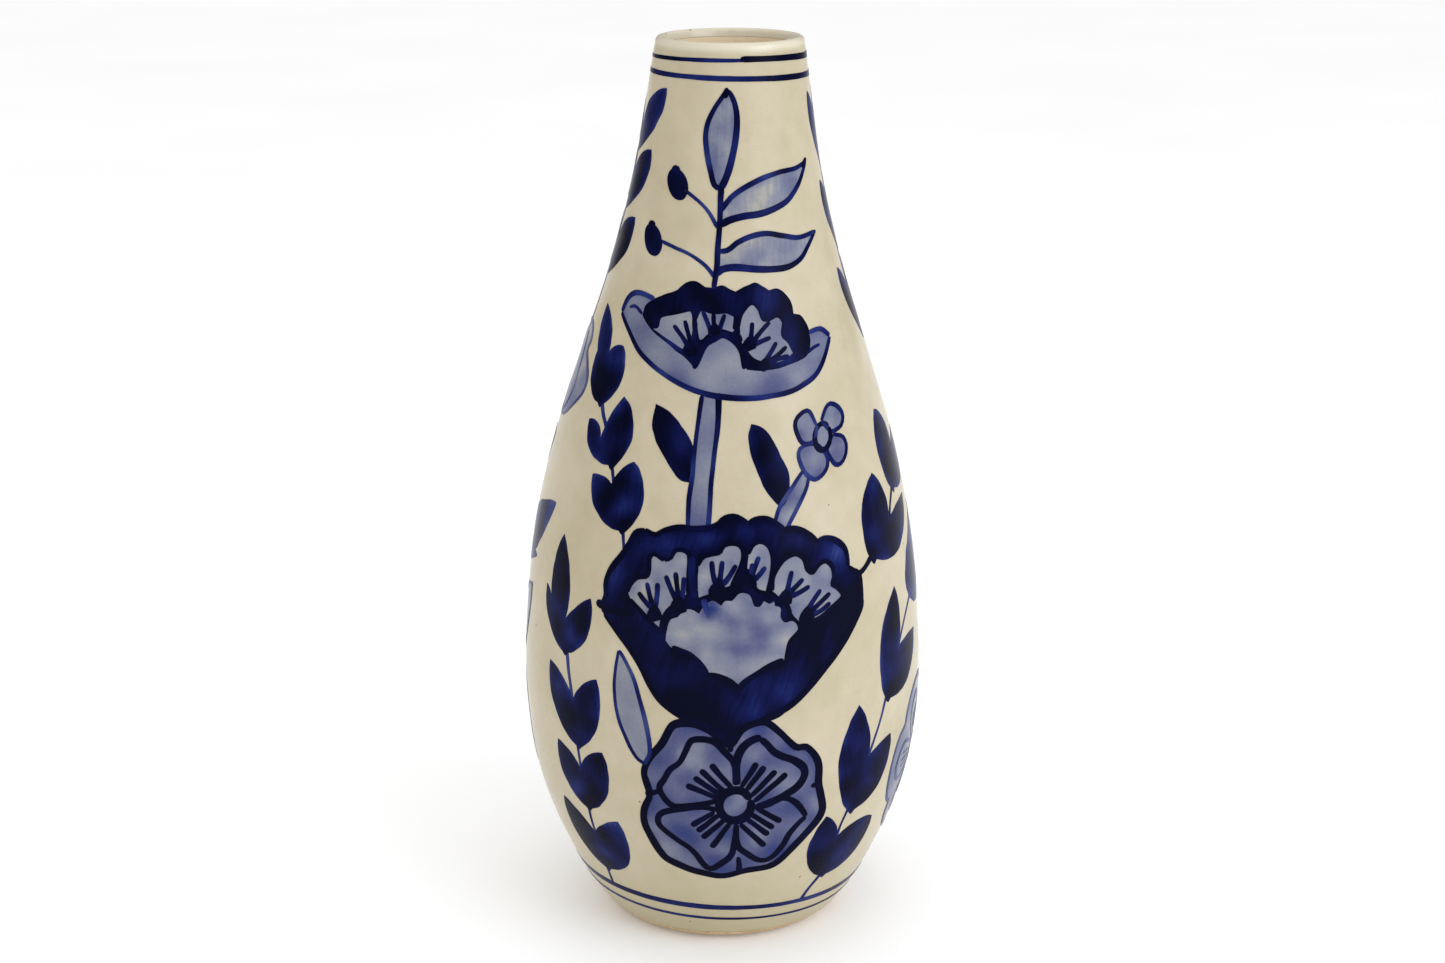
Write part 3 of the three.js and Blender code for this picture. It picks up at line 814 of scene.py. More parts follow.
def distance_to(outlines: Sequence[Sequence[Vector]], points: np.ndarray) -> np.ndarray:
    """Distance of each point to the nearest of some closed outlines.

    Args:
        outlines: Closed outlines in the plane of the painting.
        points: Array of across and height, in millimetres.

    Returns:
        One distance for each point.
    """
    nearest = np.full(len(points), 1e9)
    for path in outlines:
        starts = np.array([(p.x, p.y) for p in path])
        along = np.roll(starts, -1, axis=0) - starts
        lengths = np.maximum((along**2).sum(axis=1), 1e-9)
        offset = points[:, None, :] - starts[None]
        share = np.clip((offset * along[None]).sum(axis=2) / lengths, 0, 1)
        gap = offset - share[..., None] * along[None]
        nearest = np.minimum(nearest, np.sqrt((gap**2).sum(axis=2)).min(axis=1))
    return nearest


@dataclass
class Load:
    """How much colour the brush leaves.

    Attributes:
        body: Load in the middle of a mark.
        rim: Load added at its edge; negative where the edge is thin.
        rim_mm: How far the rim reaches inwards.
        cloud: How much the load drifts across the mark.
        cloud_mm: Size of those drifts.
        start: Load added where a stroke starts.
        end: Load added where it ends.
    """

    body: float = 0.9
    rim: float = 0.0
    rim_mm: float = 1.2
    cloud: float = 0.1
    cloud_mm: float = 9.0
    start: float = 0.0
    end: float = 0.0


WASH = Load(body=0.2, rim=0.06, rim_mm=0.9, cloud=0.22, cloud_mm=11)
DARK = Load(body=0.93, rim=-0.16, rim_mm=1.1, cloud=0.16, cloud_mm=14)
LINE = Load(body=0.84, cloud=0.22, cloud_mm=12)


class Canvas:
    """Flat painting of one piece, built mark by mark and wrapped round the vase at the end."""

    FILL_PITCH: ClassVar[float] = 2.2

    def __init__(
        self, form: VaseForm, palette: Palette, seed: int, shift: Point = (0.0, 0.0), fade: float = 0.0,
    ) -> None:
        """Starts an empty canvas.

        Args:
            form: Body that it is wrapped round.
            palette: Finishes.
            seed: Seed of the hand's small wavers.
            shift: Moves every mark across and up.
            fade: Load taken from every mark, for paler painting.
        """
        self.form = form
        self.palette = palette
        self.random = random.Random(seed)
        self.shift = shift
        self.fade = fade
        self.bm = self._sheet()
        self.marks = 0

    @staticmethod
    def _sheet() -> bmesh.types.BMesh:
        """Empty bmesh with the layers that the cobalt finish reads."""
        bm = bmesh.new()
        bm.verts.layers.float.new("load")
        bm.verts.layers.float_vector.new("brush")
        return bm

    def _keep(self, bm: bmesh.types.BMesh, thickness: float) -> None:
        """Gives a mark its thickness and joins it to the canvas.

        Args:
            bm: Flat mark, which is freed.
            thickness: Depth that it gets, downwards.
        """
        bmesh.ops.remove_doubles(bm, verts=bm.verts[:], dist=0.02)
        bmesh.ops.dissolve_degenerate(bm, dist=0.01, edges=bm.edges[:])
        bmesh.ops.solidify(bm, geom=bm.faces[:], thickness=thickness)
        bmesh.ops.recalc_face_normals(bm, faces=bm.faces[:])
        mesh = bpy.data.meshes.new("mark")
        bm.to_mesh(mesh)
        bm.free()
        self.bm.from_mesh(mesh)
        bpy.data.meshes.remove(mesh)
        self.marks += 1

    def _cloud(self, point: Vector, size: float, seed: float) -> float:
        """Slow drift of the load, -1 to 1."""
        return noise.noise(Vector((point.x / size, point.y / size, seed))) * 1.6

    def ribbon(
        self,
        path: Sequence[Vector],
        left: Callable[[float], float],
        right: Callable[[float], float],
        lift: float,
        load: Load,
        columns: int = 4,
        rounded: bool = True,
    ) -> None:
        """Lays a strip along a path, from a grid whose points are moved onto it.

        Args:
            path: Centre of the strip.
            left: Half-width to the left of the path, from the share of its length.
            right: Half-width to the right.
            lift: Height over the glaze.
            load: Colour that it leaves.
            columns: Faces across.
            rounded: Whether the ends are round, as a loaded brush leaves them.
        """
        centre = np.array([(p.x, p.y) for p in path])
        steps = np.hypot(*np.diff(centre, axis=0).T)
        marks = np.concatenate([[0], np.cumsum(steps)])
        length = float(marks[-1])
        rows = max(5, round(length / 1.3))
        shares = np.linspace(0, 1, rows + 1)
        cap = min(0.45, max(left(0.02), right(0.02), 0.05) / length)
        if rounded:
            ease = cap * np.array([0, 0.12, 0.42])
            shares = np.unique(np.concatenate([ease, 1 - ease, shares]).round(5))
            shares = shares[(np.isin(shares, [0, 1])) | (np.minimum(shares, 1 - shares) > cap * 0.1)]
        rows = len(shares) - 1
        xs, ys = np.interp(
            shares * length, marks, centre[:, 0],
        ), np.interp(shares * length, marks, centre[:, 1])
        tangents = np.stack([np.gradient(xs), np.gradient(ys)], axis=1)
        tangents /= np.maximum(np.hypot(*tangents.T), 1e-9)[:, None]
        seed = self.random.uniform(0, 90)
        bm = self._sheet()
        bmesh.ops.create_grid(bm, x_segments=rows, y_segments=columns, size=0.5)
        load_layer, brush_layer = bm.verts.layers.float["load"], bm.verts.layers.float_vector["brush"]
        for vert in bm.verts:
            row, side = round((vert.co.x + 0.5) * rows), vert.co.y * 2
            share = shares[row]
            edge = left(share) if side > 0 else right(share)
            edge *= 1 + 0.1 * noise.noise(Vector((share * length / 5, math.copysign(3, side), seed)))
            if rounded:
                near = min(share, 1 - share) * length
                edge *= math.sqrt(max(0.0, 1 - (1 - min(1, near / (cap * length))) ** 2))
            normal = Vector((-tangents[row, 1], tangents[row, 0], 0))
            vert.co = Vector((xs[row], ys[row], lift + 0.02 * share)) + normal * side * edge
            brink = (1 - abs(side)) * max(edge, 0.05)
            body = load.body + load.cloud * self._cloud(vert.co, load.cloud_mm, seed)
            body += load.rim * math.exp(-brink / load.rim_mm)
            body += load.start * max(0, 1 - share * 3) + load.end * max(0, share * 3 - 2)
            vert[load_layer] = body - self.fade
            vert[brush_layer] = Vector((side * edge, share * length, seed * 3))
        self._keep(bm, 0.05 + lift)

    def stroke(
        self, points: Run, width: float | Sequence[float], lift: float = STROKE_LIFT, load: Load = LINE,
    ) -> None:
        """Paints a brush stroke.

        Args:
            points: Points that its centre passes through.
            width: Width in millimetres, or widths spread evenly along it.
            lift: Height over the glaze.
            load: Colour that it leaves.
        """
        widths = [width, width] if isinstance(width, (int, float)) else list(width)
        stations = np.linspace(0, 1, len(widths))

        def half(share: float) -> float:
            """Half the stroke's width at a share of its length."""
            return float(np.interp(share, stations, widths)) / 2

        path = [p + self._waver(p) for p in spline(points)]
        self.ribbon(
            path, half, half, lift + 0.01 * (self.marks % 4), load, columns=4 if max(widths) > 1 else 2,
        )

    def leaf(
        self, base: Point, tip: Point, left: float, right: float, lift: float = LEAF_LIFT,
        load: Load = DARK, peak: float = 0.62,
    ) -> None:
        """Paints a leaf in one press of a full brush, from its base to its pointed tip.

        Args:
            base: Where it leaves the stem.
            tip: Its point.
            left: Bulge to the left of the line between them.
            right: Bulge to the right.
            lift: Height over the glaze.
            load: Colour that it leaves.
            peak: Below 1 the leaf is fullest near its base, above 1 near its tip.
        """
        start, end = Vector((*base, 0)), Vector((*tip, 0))
        path = [start.lerp(end, t) for t in np.linspace(0, 1, 30)]

        def swell(share: float) -> float:
            """Fullness of the leaf along its length."""
            return abs(math.sin(math.pi * min(1, max(0, share)) ** peak)) ** 0.75 + 0.02 * (1 - share)

        self.ribbon(
            path, lambda share: left * swell(share), lambda share: right * swell(share),
            lift + 0.012 * (self.marks % 4), load, columns=8, rounded=False,
        )

    def _waver(self, point: Vector, size: float = 7.0, reach: float = 0.22) -> Vector:
        """Finds the small waver of the hand at a point.

        Args:
            point: Place on the painting.
            size: Length of a waver.
            reach: How far it goes.

        Returns:
            Offset to add to the point.
        """
        seed = self.marks * 7.3
        place = Vector((point.x / size, point.y / size, seed))
        return Vector((noise.noise(place), noise.noise(place + Vector((0, 0, 40))), 0)) * reach

    def fill(
        self, edge: Sequence[Vector], windows: Sequence[Sequence[Vector]] = (), lift: float = GROUND_LIFT,
        load: Load = WASH, grain: float = 90.0, tint: Callable[[float, float], float] | None = None,
    ) -> None:
        """Fills an outline, leaving windows open.

        Args:
            edge: Closed outline.
            windows: Closed outlines inside it that stay bare.
            lift: Height over the glaze.
            load: Colour that it leaves.
            grain: Direction of the brush, in degrees from across.
            tint: Load added at a place, across and up.
        """
        bm = self._sheet()
        edges = []
        edge, *windows = (
            [point + self._waver(point, 3.2, 0.2) for point in path]
            for path in (edge, *windows)
        )
        for path in (edge, *windows):
            verts = [bm.verts.new(point) for point in path]
            edges += [bm.edges.new(pair) for pair in zip(verts, [*verts[1:], verts[0]])]
        bmesh.ops.triangle_fill(bm, use_beauty=True, edges=edges, normal=(0, 0, 1))
        for axis in (0, 1):
            low, high = min(v.co[axis] for v in bm.verts), max(v.co[axis] for v in bm.verts)
            count = int((high - low) / self.FILL_PITCH)
            for cut in range(1, count + 1):
                place, normal = [0.0, 0.0, 0.0], [0.0, 0.0, 0.0]
                place[axis], normal[axis] = low + cut * (high - low) / (count + 1), 1.0
                bmesh.ops.bisect_plane(
                    bm, geom=[*bm.verts, *bm.edges, *bm.faces], dist=1e-4, plane_co=place, plane_no=normal,
                )
        bmesh.ops.triangulate(bm, faces=bm.faces[:])
        seed = self.random.uniform(0, 90)
        load_layer, brush_layer = bm.verts.layers.float["load"], bm.verts.layers.float_vector["brush"]
        brink = distance_to((edge, *windows), np.array([(v.co.x, v.co.y) for v in bm.verts]))
        cos, sin = math.cos(math.radians(grain)), math.sin(math.radians(grain))
        for vert, gap in zip(bm.verts, brink):
            body = load.body + load.cloud * self._cloud(vert.co, load.cloud_mm, seed)
            body += load.rim * math.exp(-gap / load.rim_mm)
            body += tint(vert.co.x, vert.co.y) if tint else 0.0
            vert[load_layer] = body - self.fade
            vert[brush_layer] = Vector(
                (vert.co.x * sin - vert.co.y * cos, vert.co.x * cos + vert.co.y * sin, seed),
            )
            vert.co.z = lift
        self._keep(bm, 0.05 + lift)

    def hang(self, node: str, finish: Finish, meridian: float) -> bpy.types.Object:
        """Wraps the painting round the vase and dresses it.

        Args:
            node: CAD node that the piece stands for.
            finish: Finish of the piece.
            meridian: Angle of the painting's middle.

        Returns:
            The dressed piece.
        """
        bmesh.ops.translate(self.bm, verts=self.bm.verts[:], vec=(*self.shift, 0))
        piece = as_object(
            f"{node}_painted", self.bm, lambda mesh: self.form.wrap(mesh, meridian), PAINT_CREASE_DEG,
        )
        return self.palette.dress(piece, finish, node)


def spot(x: float, y: float, reach: float, depth: float) -> Callable[[float, float], float]:
    """Round soft patch of more or less colour.

    Args:
        x: Its middle, across.
        y: Its middle, up.
        reach: Its radius.
        depth: Load added in its middle.

    Returns:
        Call that gives the load added at a place.
    """
    return lambda across, height: depth * math.exp(-((across - x) ** 2 + (height - y) ** 2) / reach**2)


def together(*tints: Callable[[float, float], float]) -> Callable[[float, float], float]:
    """Sum of some patches of colour."""
    return lambda across, height: sum(tint(across, height) for tint in tints)


# ---- Motifs ------------------------------------------------------------------------------------


@dataclass
class Painter:
    """Makes canvases for the motifs of one side of the vase.

    Attributes:
        form: Body that is painted.
        palette: Finishes.
        prefix: Start of the CAD nodes' names.
        meridian: Angle of the side's middle, in degrees from the front towards +X.
        seed: Seed of the side's hand.
    """

    form: VaseForm
    palette: Palette
    prefix: str
    meridian: float
    seed: int

    def canvas(self, salt: int, fade: float = 0.0) -> Canvas:
        """Starts a canvas with its own seed."""
        return Canvas(self.form, self.palette, self.seed * 100 + salt, fade=fade)

    def hang(self, canvas: Canvas, part: str, finish: Finish) -> None:
        """Hangs a canvas as one part of this side."""
        canvas.hang(f"{self.prefix}_{part}", finish, self.meridian)


@dataclass
class Rosette:
    """Four-petalled rosette: pale wash under dark outlines, filaments and an eye."""

    painter: Painter
    edge: ClassVar[Run] = (
        (-24.5, 65), (-26.3, 72), (-24.9, 77), (-20, 84), (-16.5, 90.5), (-12.6, 91.9), (-8, 91.6),
        (-1, 88), (2.4, 84.6), (6.5, 90), (13.5, 92), (19, 88), (24.5, 82), (28.4, 81.4), (32.7, 75),
        (33, 67), (34.8, 58), (33.9, 54.3), (27, 46.5), (17, 37), (7, 35.2), (0, 33.2), (-8.5, 35),
        (-15, 37.5), (-20, 40.5), (-26, 51.5), (-26.6, 58),
    )
    notches: ClassVar[tuple[Run, ...]] = (
        ((-26, 64.8), (-23.4, 65.4), (-20.4, 66.8)), ((5.5, 35), (5.6, 38.4), (5.2, 41.6)),
        ((33.4, 67), (30, 66.6)), ((2.4, 84), (3, 82)),
    )
    petals: ClassVar[tuple[Run, ...]] = (
        (
            (-1.4, 64.4), (-5.5, 63.2), (-11.4, 62), (-16.1, 61.4), (-19.4, 63.8), (-21.1, 67.6),
            (-19.4, 70.8), (-17.3, 74.9), (-14.1, 77.9), (-12, 82), (-10.2, 85.8), (-6.7, 86.4),
            (-2.6, 85.5), (0.3, 82.6), (3.3, 79), (4.2, 75), (4.3, 70),
        ),
        ((5, 70), (4.5, 76), (5, 80.2), (6.8, 83.8), (9.8, 86.1), (12.7, 86.8)),
        (
            (12.4, 86.4), (14.5, 84.3), (16.8, 81.4), (20.4, 79), (23.9, 77.3), (27.1, 74.3), (27.7, 71.4),
            (25.6, 67.9), (22.1, 65.5), (16.8, 63.2), (10.8, 61.2),
        ),
        ((10.6, 61), (15.5, 62.2), (19.7, 64), (22.4, 63.3), (25.5, 60.6), (28.6, 55.4)),
        (
            (28.5, 55.2), (25.5, 52.7), (22.4, 49), (20.3, 44.8), (17.1, 40.6), (14.2, 39.3), (11.3, 40.1),
            (8.2, 42.7), (5.5, 45.4), (4.5, 49.6), (4.7, 55),
        ),
        (
            (-1.4, 60.8), (-6.6, 61.7), (-12.9, 60.6), (-17.1, 59.6), (-20.6, 57.8), (-21.8, 55.4),
            (-21, 52.8), (-15, 48), (-11.3, 45.4), (-8.7, 42.2), (-6.1, 38), (-3.9, 36.4), (-0.8, 38.5),
            (2.4, 41.7), (3.7, 46), (4.5, 55),
        ),
    )
    filaments: ClassVar[tuple[Run, ...]] = (
        ((-12, 69.6), (-1.6, 65.4)), ((-9.4, 72.6), (0.2, 66)), ((-7.3, 75.5), (1.6, 66.6)),
        ((-3.8, 77.6), (3.2, 68.6)), ((11.2, 77.9), (6, 69)), ((13.9, 76.4), (7.8, 67.8)),
        ((17.7, 74.3), (9.2, 65.6)), ((21.5, 72.9), (10.2, 63.6)), ((19.7, 54.8), (10.8, 61.4)),
        ((17.1, 52.5), (8.8, 59.2)), ((15.5, 50.1), (7.6, 57.2)), ((14.2, 45.4), (5.8, 55.2)),
        ((-10.3, 54.3), (-2.6, 60)), ((-8.4, 52), (-1, 59)), ((-6.6, 49.3), (0.9, 57.4)),
        ((-3.7, 45.6), (2.6, 55.8)),
    )
    eye: ClassVar[tuple[float, float, float, float]] = (4.2, 62.4, 5.3, 5.9)

    def build(self) -> None:
        """Paints the wash and then the lines over it."""
        wash = self.painter.canvas(1)
        tint = together(
            spot(-12, 60, 18, 0.1), spot(-10, 80, 6, -0.2), spot(-16, 43, 5, -0.2), spot(26, 62, 10, 0.08),
            spot(4.2, 62.4, 5, -0.12), spot(24, 86, 8, 0.08),
        )
        wash.fill(outline(self.edge), load=Load(body=0.3, rim=0.05, cloud=0.14, cloud_mm=8), tint=tint)
        self.painter.hang(wash, "rosette_wash", Finish.WASH)
        lines = self.painter.canvas(2)
        full = Load(body=1.0, cloud=0.08, cloud_mm=10)
        rim = [self.edge[0], *self.edge[1:], self.edge[0], self.edge[1]]
        lines.stroke(rim, (2.2, 2.6, 3, 2.4, 2.2, 2.7, 3.1, 2.6, 2.3, 2.9, 2.6, 2.2), load=full)
        for notch in self.notches:
            lines.stroke(notch, (2.4, 1.4), load=full)
        for index, petal in enumerate(self.petals):
            lines.stroke(
                petal, (2.2, 2.9, 2.6) if index in (1, 2) else (1.8, 2.3, 1.9, 2.4, 1.9), load=full,
            )
        for filament in self.filaments:
            lines.stroke(filament, (2.3, 1.9, 1.7), load=full)
        x, y, across, tall = self.eye
        ring = [(x + across * math.cos(a), y + tall * math.sin(a)) for a in np.radians(range(20, 400, 30))]
        lines.stroke(ring, (2.6, 3.2, 2.7, 3.4, 2.6), load=full)
        self.painter.hang(lines, "rosette_lines", Finish.LINE)


@dataclass
class Poppy:
    """Big open poppy: a dark cup whose windows show pale petals, with stamens over them."""

    painter: Painter
    edge: ClassVar[tuple[Run, ...]] = (
        (
            (-42.4, 126.6), (-40.5, 130.3), (-40.5, 134.4), (-38.5, 139.1), (-34.2, 144.5), (-31.3, 149),
            (-29, 152.8), (-25.6, 154),
        ),
        (
            (-25.6, 154), (-22, 152.8), (-19.3, 154.3), (-14, 155.8), (-9, 155.4), (-4, 156), (-1.3, 157.3),
            (0.3, 159), (3.6, 159.6), (8, 157.6),
        ),
        ((8, 157.6), (10.7, 158.6), (14.6, 158), (20, 155)),
        ((20, 155), (24, 154.5), (28.4, 152.2), (31.7, 149.6)),
        ((31.7, 149.6), (35, 150), (39.4, 148.4), (43, 145), (44.3, 139.3)),
        ((44.3, 139.3), (46.4, 137.6), (49, 136), (49.6, 132), (50, 128), (50, 124)),
        ((50, 124), (45, 118), (38, 111), (32, 104.5), (25, 98), (18, 93), (13, 92)),
        ((13, 92), (5, 88), (2, 84.4), (-3, 87), (-8, 91.2), (-13, 92.5)),
        ((-13, 92.5), (-17, 95), (-22, 100), (-26, 107), (-31, 113.5), (-36, 120), (-42, 125.3)),
    )
    bowl: ClassVar[tuple[Run, ...]] = (
        ((-18.5, 119.1), (-18.2, 122), (-17, 125.8), (-14.6, 127.2)),
        ((-14.6, 127.2), (-12.4, 129.4), (-9.8, 129.8), (-7.6, 128.6)),
        ((-7.6, 128.6), (-5.6, 131.4), (-3, 133), (-0.4, 131.4)),
        ((-0.4, 131.4), (1, 133), (3, 133), (5.6, 135.2), (8.6, 134.6), (10.2, 131)),
        ((10.2, 131), (12, 130.6), (14, 133), (16.4, 132.9), (16.9, 130.4)),
        (
            (16.9, 130.4), (18.9, 129.7), (18.9, 126.8), (20.4, 124.9), (23, 125), (24.8, 122.1),
            (21.6, 119), (20.6, 114.6), (20.1, 112.4),
        ),
        ((20.1, 112.4), (15.4, 111), (10.9, 108.5), (7.4, 106.2), (5.2, 103.6)),
        ((5.2, 103.6), (2.4, 106.4), (-1.4, 108), (-5, 108.4)),
        ((-5, 108.4), (-7, 112), (-10.4, 115), (-14, 116.2), (-16.6, 117)),
    )
    petals: ClassVar[tuple[tuple[Run, ...], ...]] = (
        (
            ((-31.7, 133.3), (-31, 135.8), (-28.8, 138.4), (-24.6, 139)),
            ((-24.6, 139), (-24, 141.3), (-23.9, 145.6), (-22.2, 146.6), (-18.9, 144.9)),
            (
                (-18.9, 144.9), (-16.9, 145.6), (-15.3, 148.4), (-12.8, 148.8), (-10.7, 147.4), (-11, 140),
                (-11.4, 134.6),
            ),
            ((-11.4, 134.6), (-12.6, 131.6), (-16, 130.4), (-19, 127), (-20.4, 122.4)),
            ((-20.4, 122.4), (-24.6, 125.4), (-28, 128.6), (-30.8, 131.2)),
        ),
        (
            ((-7.8, 144), (-6, 147.2), (-0.6, 148)),
            (
                (-0.6, 148), (0.2, 150.2), (3.3, 151.1), (6, 150), (6.7, 147), (5.4, 143), (3.8, 139.6),
                (2.6, 137.4),
            ),
            ((2.6, 137.4), (0, 136), (-4.7, 134.2), (-7.4, 133.4)),
        ),
        (
            (
                (8.3, 147.6), (9.6, 150.4), (12.2, 151.3), (14.8, 149.8), (16.2, 146.2), (15.8, 140.6),
                (14.4, 135),
            ),
            ((14.4, 135), (11.2, 135.8), (9.2, 139), (8.1, 143)),
        ),
        (
            (
                (16.2, 135.6), (16.3, 139.3), (18, 142.7), (20.3, 145.4), (24, 146.6), (26.9, 144.6),
                (28, 141), (30, 139.2),
            ),
            ((30, 139.2), (32.5, 142), (34.9, 142.7), (37.4, 140.6), (38, 137.2), (36.9, 134.9)),
            ((36.9, 134.9), (39.4, 133.4), (41.8, 130.4), (38, 127.6), (32, 124.6), (25, 124.4)),
            ((25, 124.4), (22.2, 127), (21, 130.6), (18.8, 133)),
        ),
    )
    blobs: ClassVar[tuple[tuple[float, float, float], ...]] = (
        (-22.2, 128.2, 2.6), (-14, 131.6, 2.8), (-1.4, 137.2, 2.9), (9, 139, 2.2), (20.4, 133.2, 2.6),
        (28, 126.6, 2.8), (15.4, 134, 2),
    )
    stamens: ClassVar[tuple[Run, ...]] = (
        ((-23, 129), (-25.4, 131), (-27.9, 133.8)), ((-22.8, 129.6), (-23.8, 133), (-24.9, 137.4)),
        ((-22, 129.6), (-21.4, 133), (-21.1, 137.6)), ((-14.6, 132), (-16.6, 136), (-18.5, 140.3)),
        ((-14, 132), (-14.6, 137), (-15.2, 141.5)), ((-13.4, 132), (-12.6, 136), (-12.3, 140.3)),
        ((-2, 138), (-3, 141.4), (-3.3, 145.7)), ((-1, 138), (-0.4, 142), (0, 145.7)),
        ((0, 138), (2.4, 141), (4.3, 144.3)), ((9, 139.6), (10.4, 143), (11.7, 146.7)),
        ((9.8, 139), (12, 141), (14, 143.3)), ((10, 140), (9.4, 142.4), (9.8, 144.8)),
        ((20.8, 134), (21.8, 137.6), (22.7, 141.3)), ((21.4, 134), (24, 136), (26.7, 138.3)),
        ((22, 133), (25.4, 134), (29, 135.7)), ((28, 127.4), (30.4, 131), (33, 134)),
        ((29, 126.8), (32.6, 129.4), (36.7, 132.3)), ((29.4, 126), (33, 127), (36.8, 129)),
    )

    def build(self) -> None:
        """Paints the pale ground and then the dark cup."""
        wash = self.painter.canvas(3)
        ground = (
            (-33, 130), (-34, 138), (-26, 148), (-14, 151), (2, 153.4), (14, 153), (26, 149), (38, 145),
            (44, 131), (34, 117), (20, 107), (6, 100), (-6, 105), (-20, 114),
        )
        tint = together(
            spot(11.7, 122, 5, 0.16), spot(5, 113, 5, 0.14), spot(-4, 130, 3, 0.3),
            spot(-11, 121, 6, -0.04), spot(0, 108, 4, -0.05), spot(2, 124, 7, 0.1), spot(20, 119, 4, -0.03),
            spot(16, 128, 5, 0.06),
        )
        wash.fill(outline(ground), load=Load(body=0.12, rim=0, cloud=0.1, cloud_mm=6), tint=tint)
        self.painter.hang(wash, "poppy_wash", Finish.WASH)
        dark = self.painter.canvas(4)
        windows = [outline(*petal) for petal in self.petals] + [outline(*self.bowl)]
        tint = together(
            spot(11, 99, 5, -0.26), spot(19, 105, 6, -0.16), spot(44, 141, 6, -0.16),
            spot(38, 146, 5, -0.14), spot(-36, 136, 6, -0.14), spot(-30, 112, 7, -0.04),
            spot(33, 112, 9, 0.06), spot(-10, 101, 8, 0.04), spot(48, 127, 4, 0.12),
            *(
                spot(x, y, 4, -0.16)
                for x, y in ((-35, 142), (-18, 151), (-4, 152.6), (7, 154.6), (25, 150.4), (40, 145))
            ),
        )
        dark.fill(
            outline(*self.edge), windows, lift=0.13,
            load=Load(body=0.94, rim=0.06, rim_mm=1.0, cloud=0.14, cloud_mm=9), grain=70, tint=tint,
        )
        inked = Load(body=1.0, cloud=0.06)
        for run in (self.bowl[6], self.bowl[7], self.bowl[8]):
            dark.stroke(run, (2.2, 1.6, 2.2), lift=OVER_LIFT, load=inked)
        for run in self.edge[0:6]:
            dark.stroke(run, (1.4, 2.2, 1.4), lift=OVER_LIFT, load=Load(body=0.98, cloud=0.08))
        for petal in self.petals:
            for run in petal:
                dark.stroke(run, (1.1, 1.7, 1.1), lift=0.16, load=inked)
        dark.stroke(
            ((-44.4, 127.8), (-39, 126.8), (-34, 126.4), (-28.6, 127.2)), (2.6, 3.2, 2.4, 1.6), lift=0.18,
            load=inked,
        )
        dark.stroke(
            ((-41, 124.6), (-30, 113), (-21.4, 99.8), (-13.4, 93.8), (-2, 88.6)), (1.2, 1.8, 2), lift=0.16,
            load=inked,
        )
        dark.stroke(
            ((50.2, 128), (49.4, 124.4), (44, 117.2), (34, 107), (22, 96.6), (12, 92.6)),
            (2.2, 2.6, 2.4, 1.8), lift=0.18, load=inked,
        )
        stamen = Load(body=0.82, cloud=0.2, cloud_mm=5, start=0.12)
        for run in self.stamens:
            dark.stroke(run, (2, 1.6, 1.7), lift=0.18, load=stamen)
        for x, y, size in self.blobs:
            dark.leaf((x - 0.3, y - 1.3 * size), (x + 0.2, y + size), size, size, lift=0.19, load=inked)
        dark.stroke(
            ((-9.6, 147), (-9.8, 140), (-8.6, 134)), (2.4, 2.2, 2.6), lift=0.2,
            load=Load(body=0.8, cloud=0.15),
        )
        dark.stroke(
            ((-6, 133.6), (-5.2, 130.2), (-4.2, 127.4)), (2.2, 1.6, 1), lift=0.2,
            load=Load(body=0.62, cloud=0.15, end=-0.16),
        )
        self.painter.hang(dark, "poppy_lines", Finish.DARK)


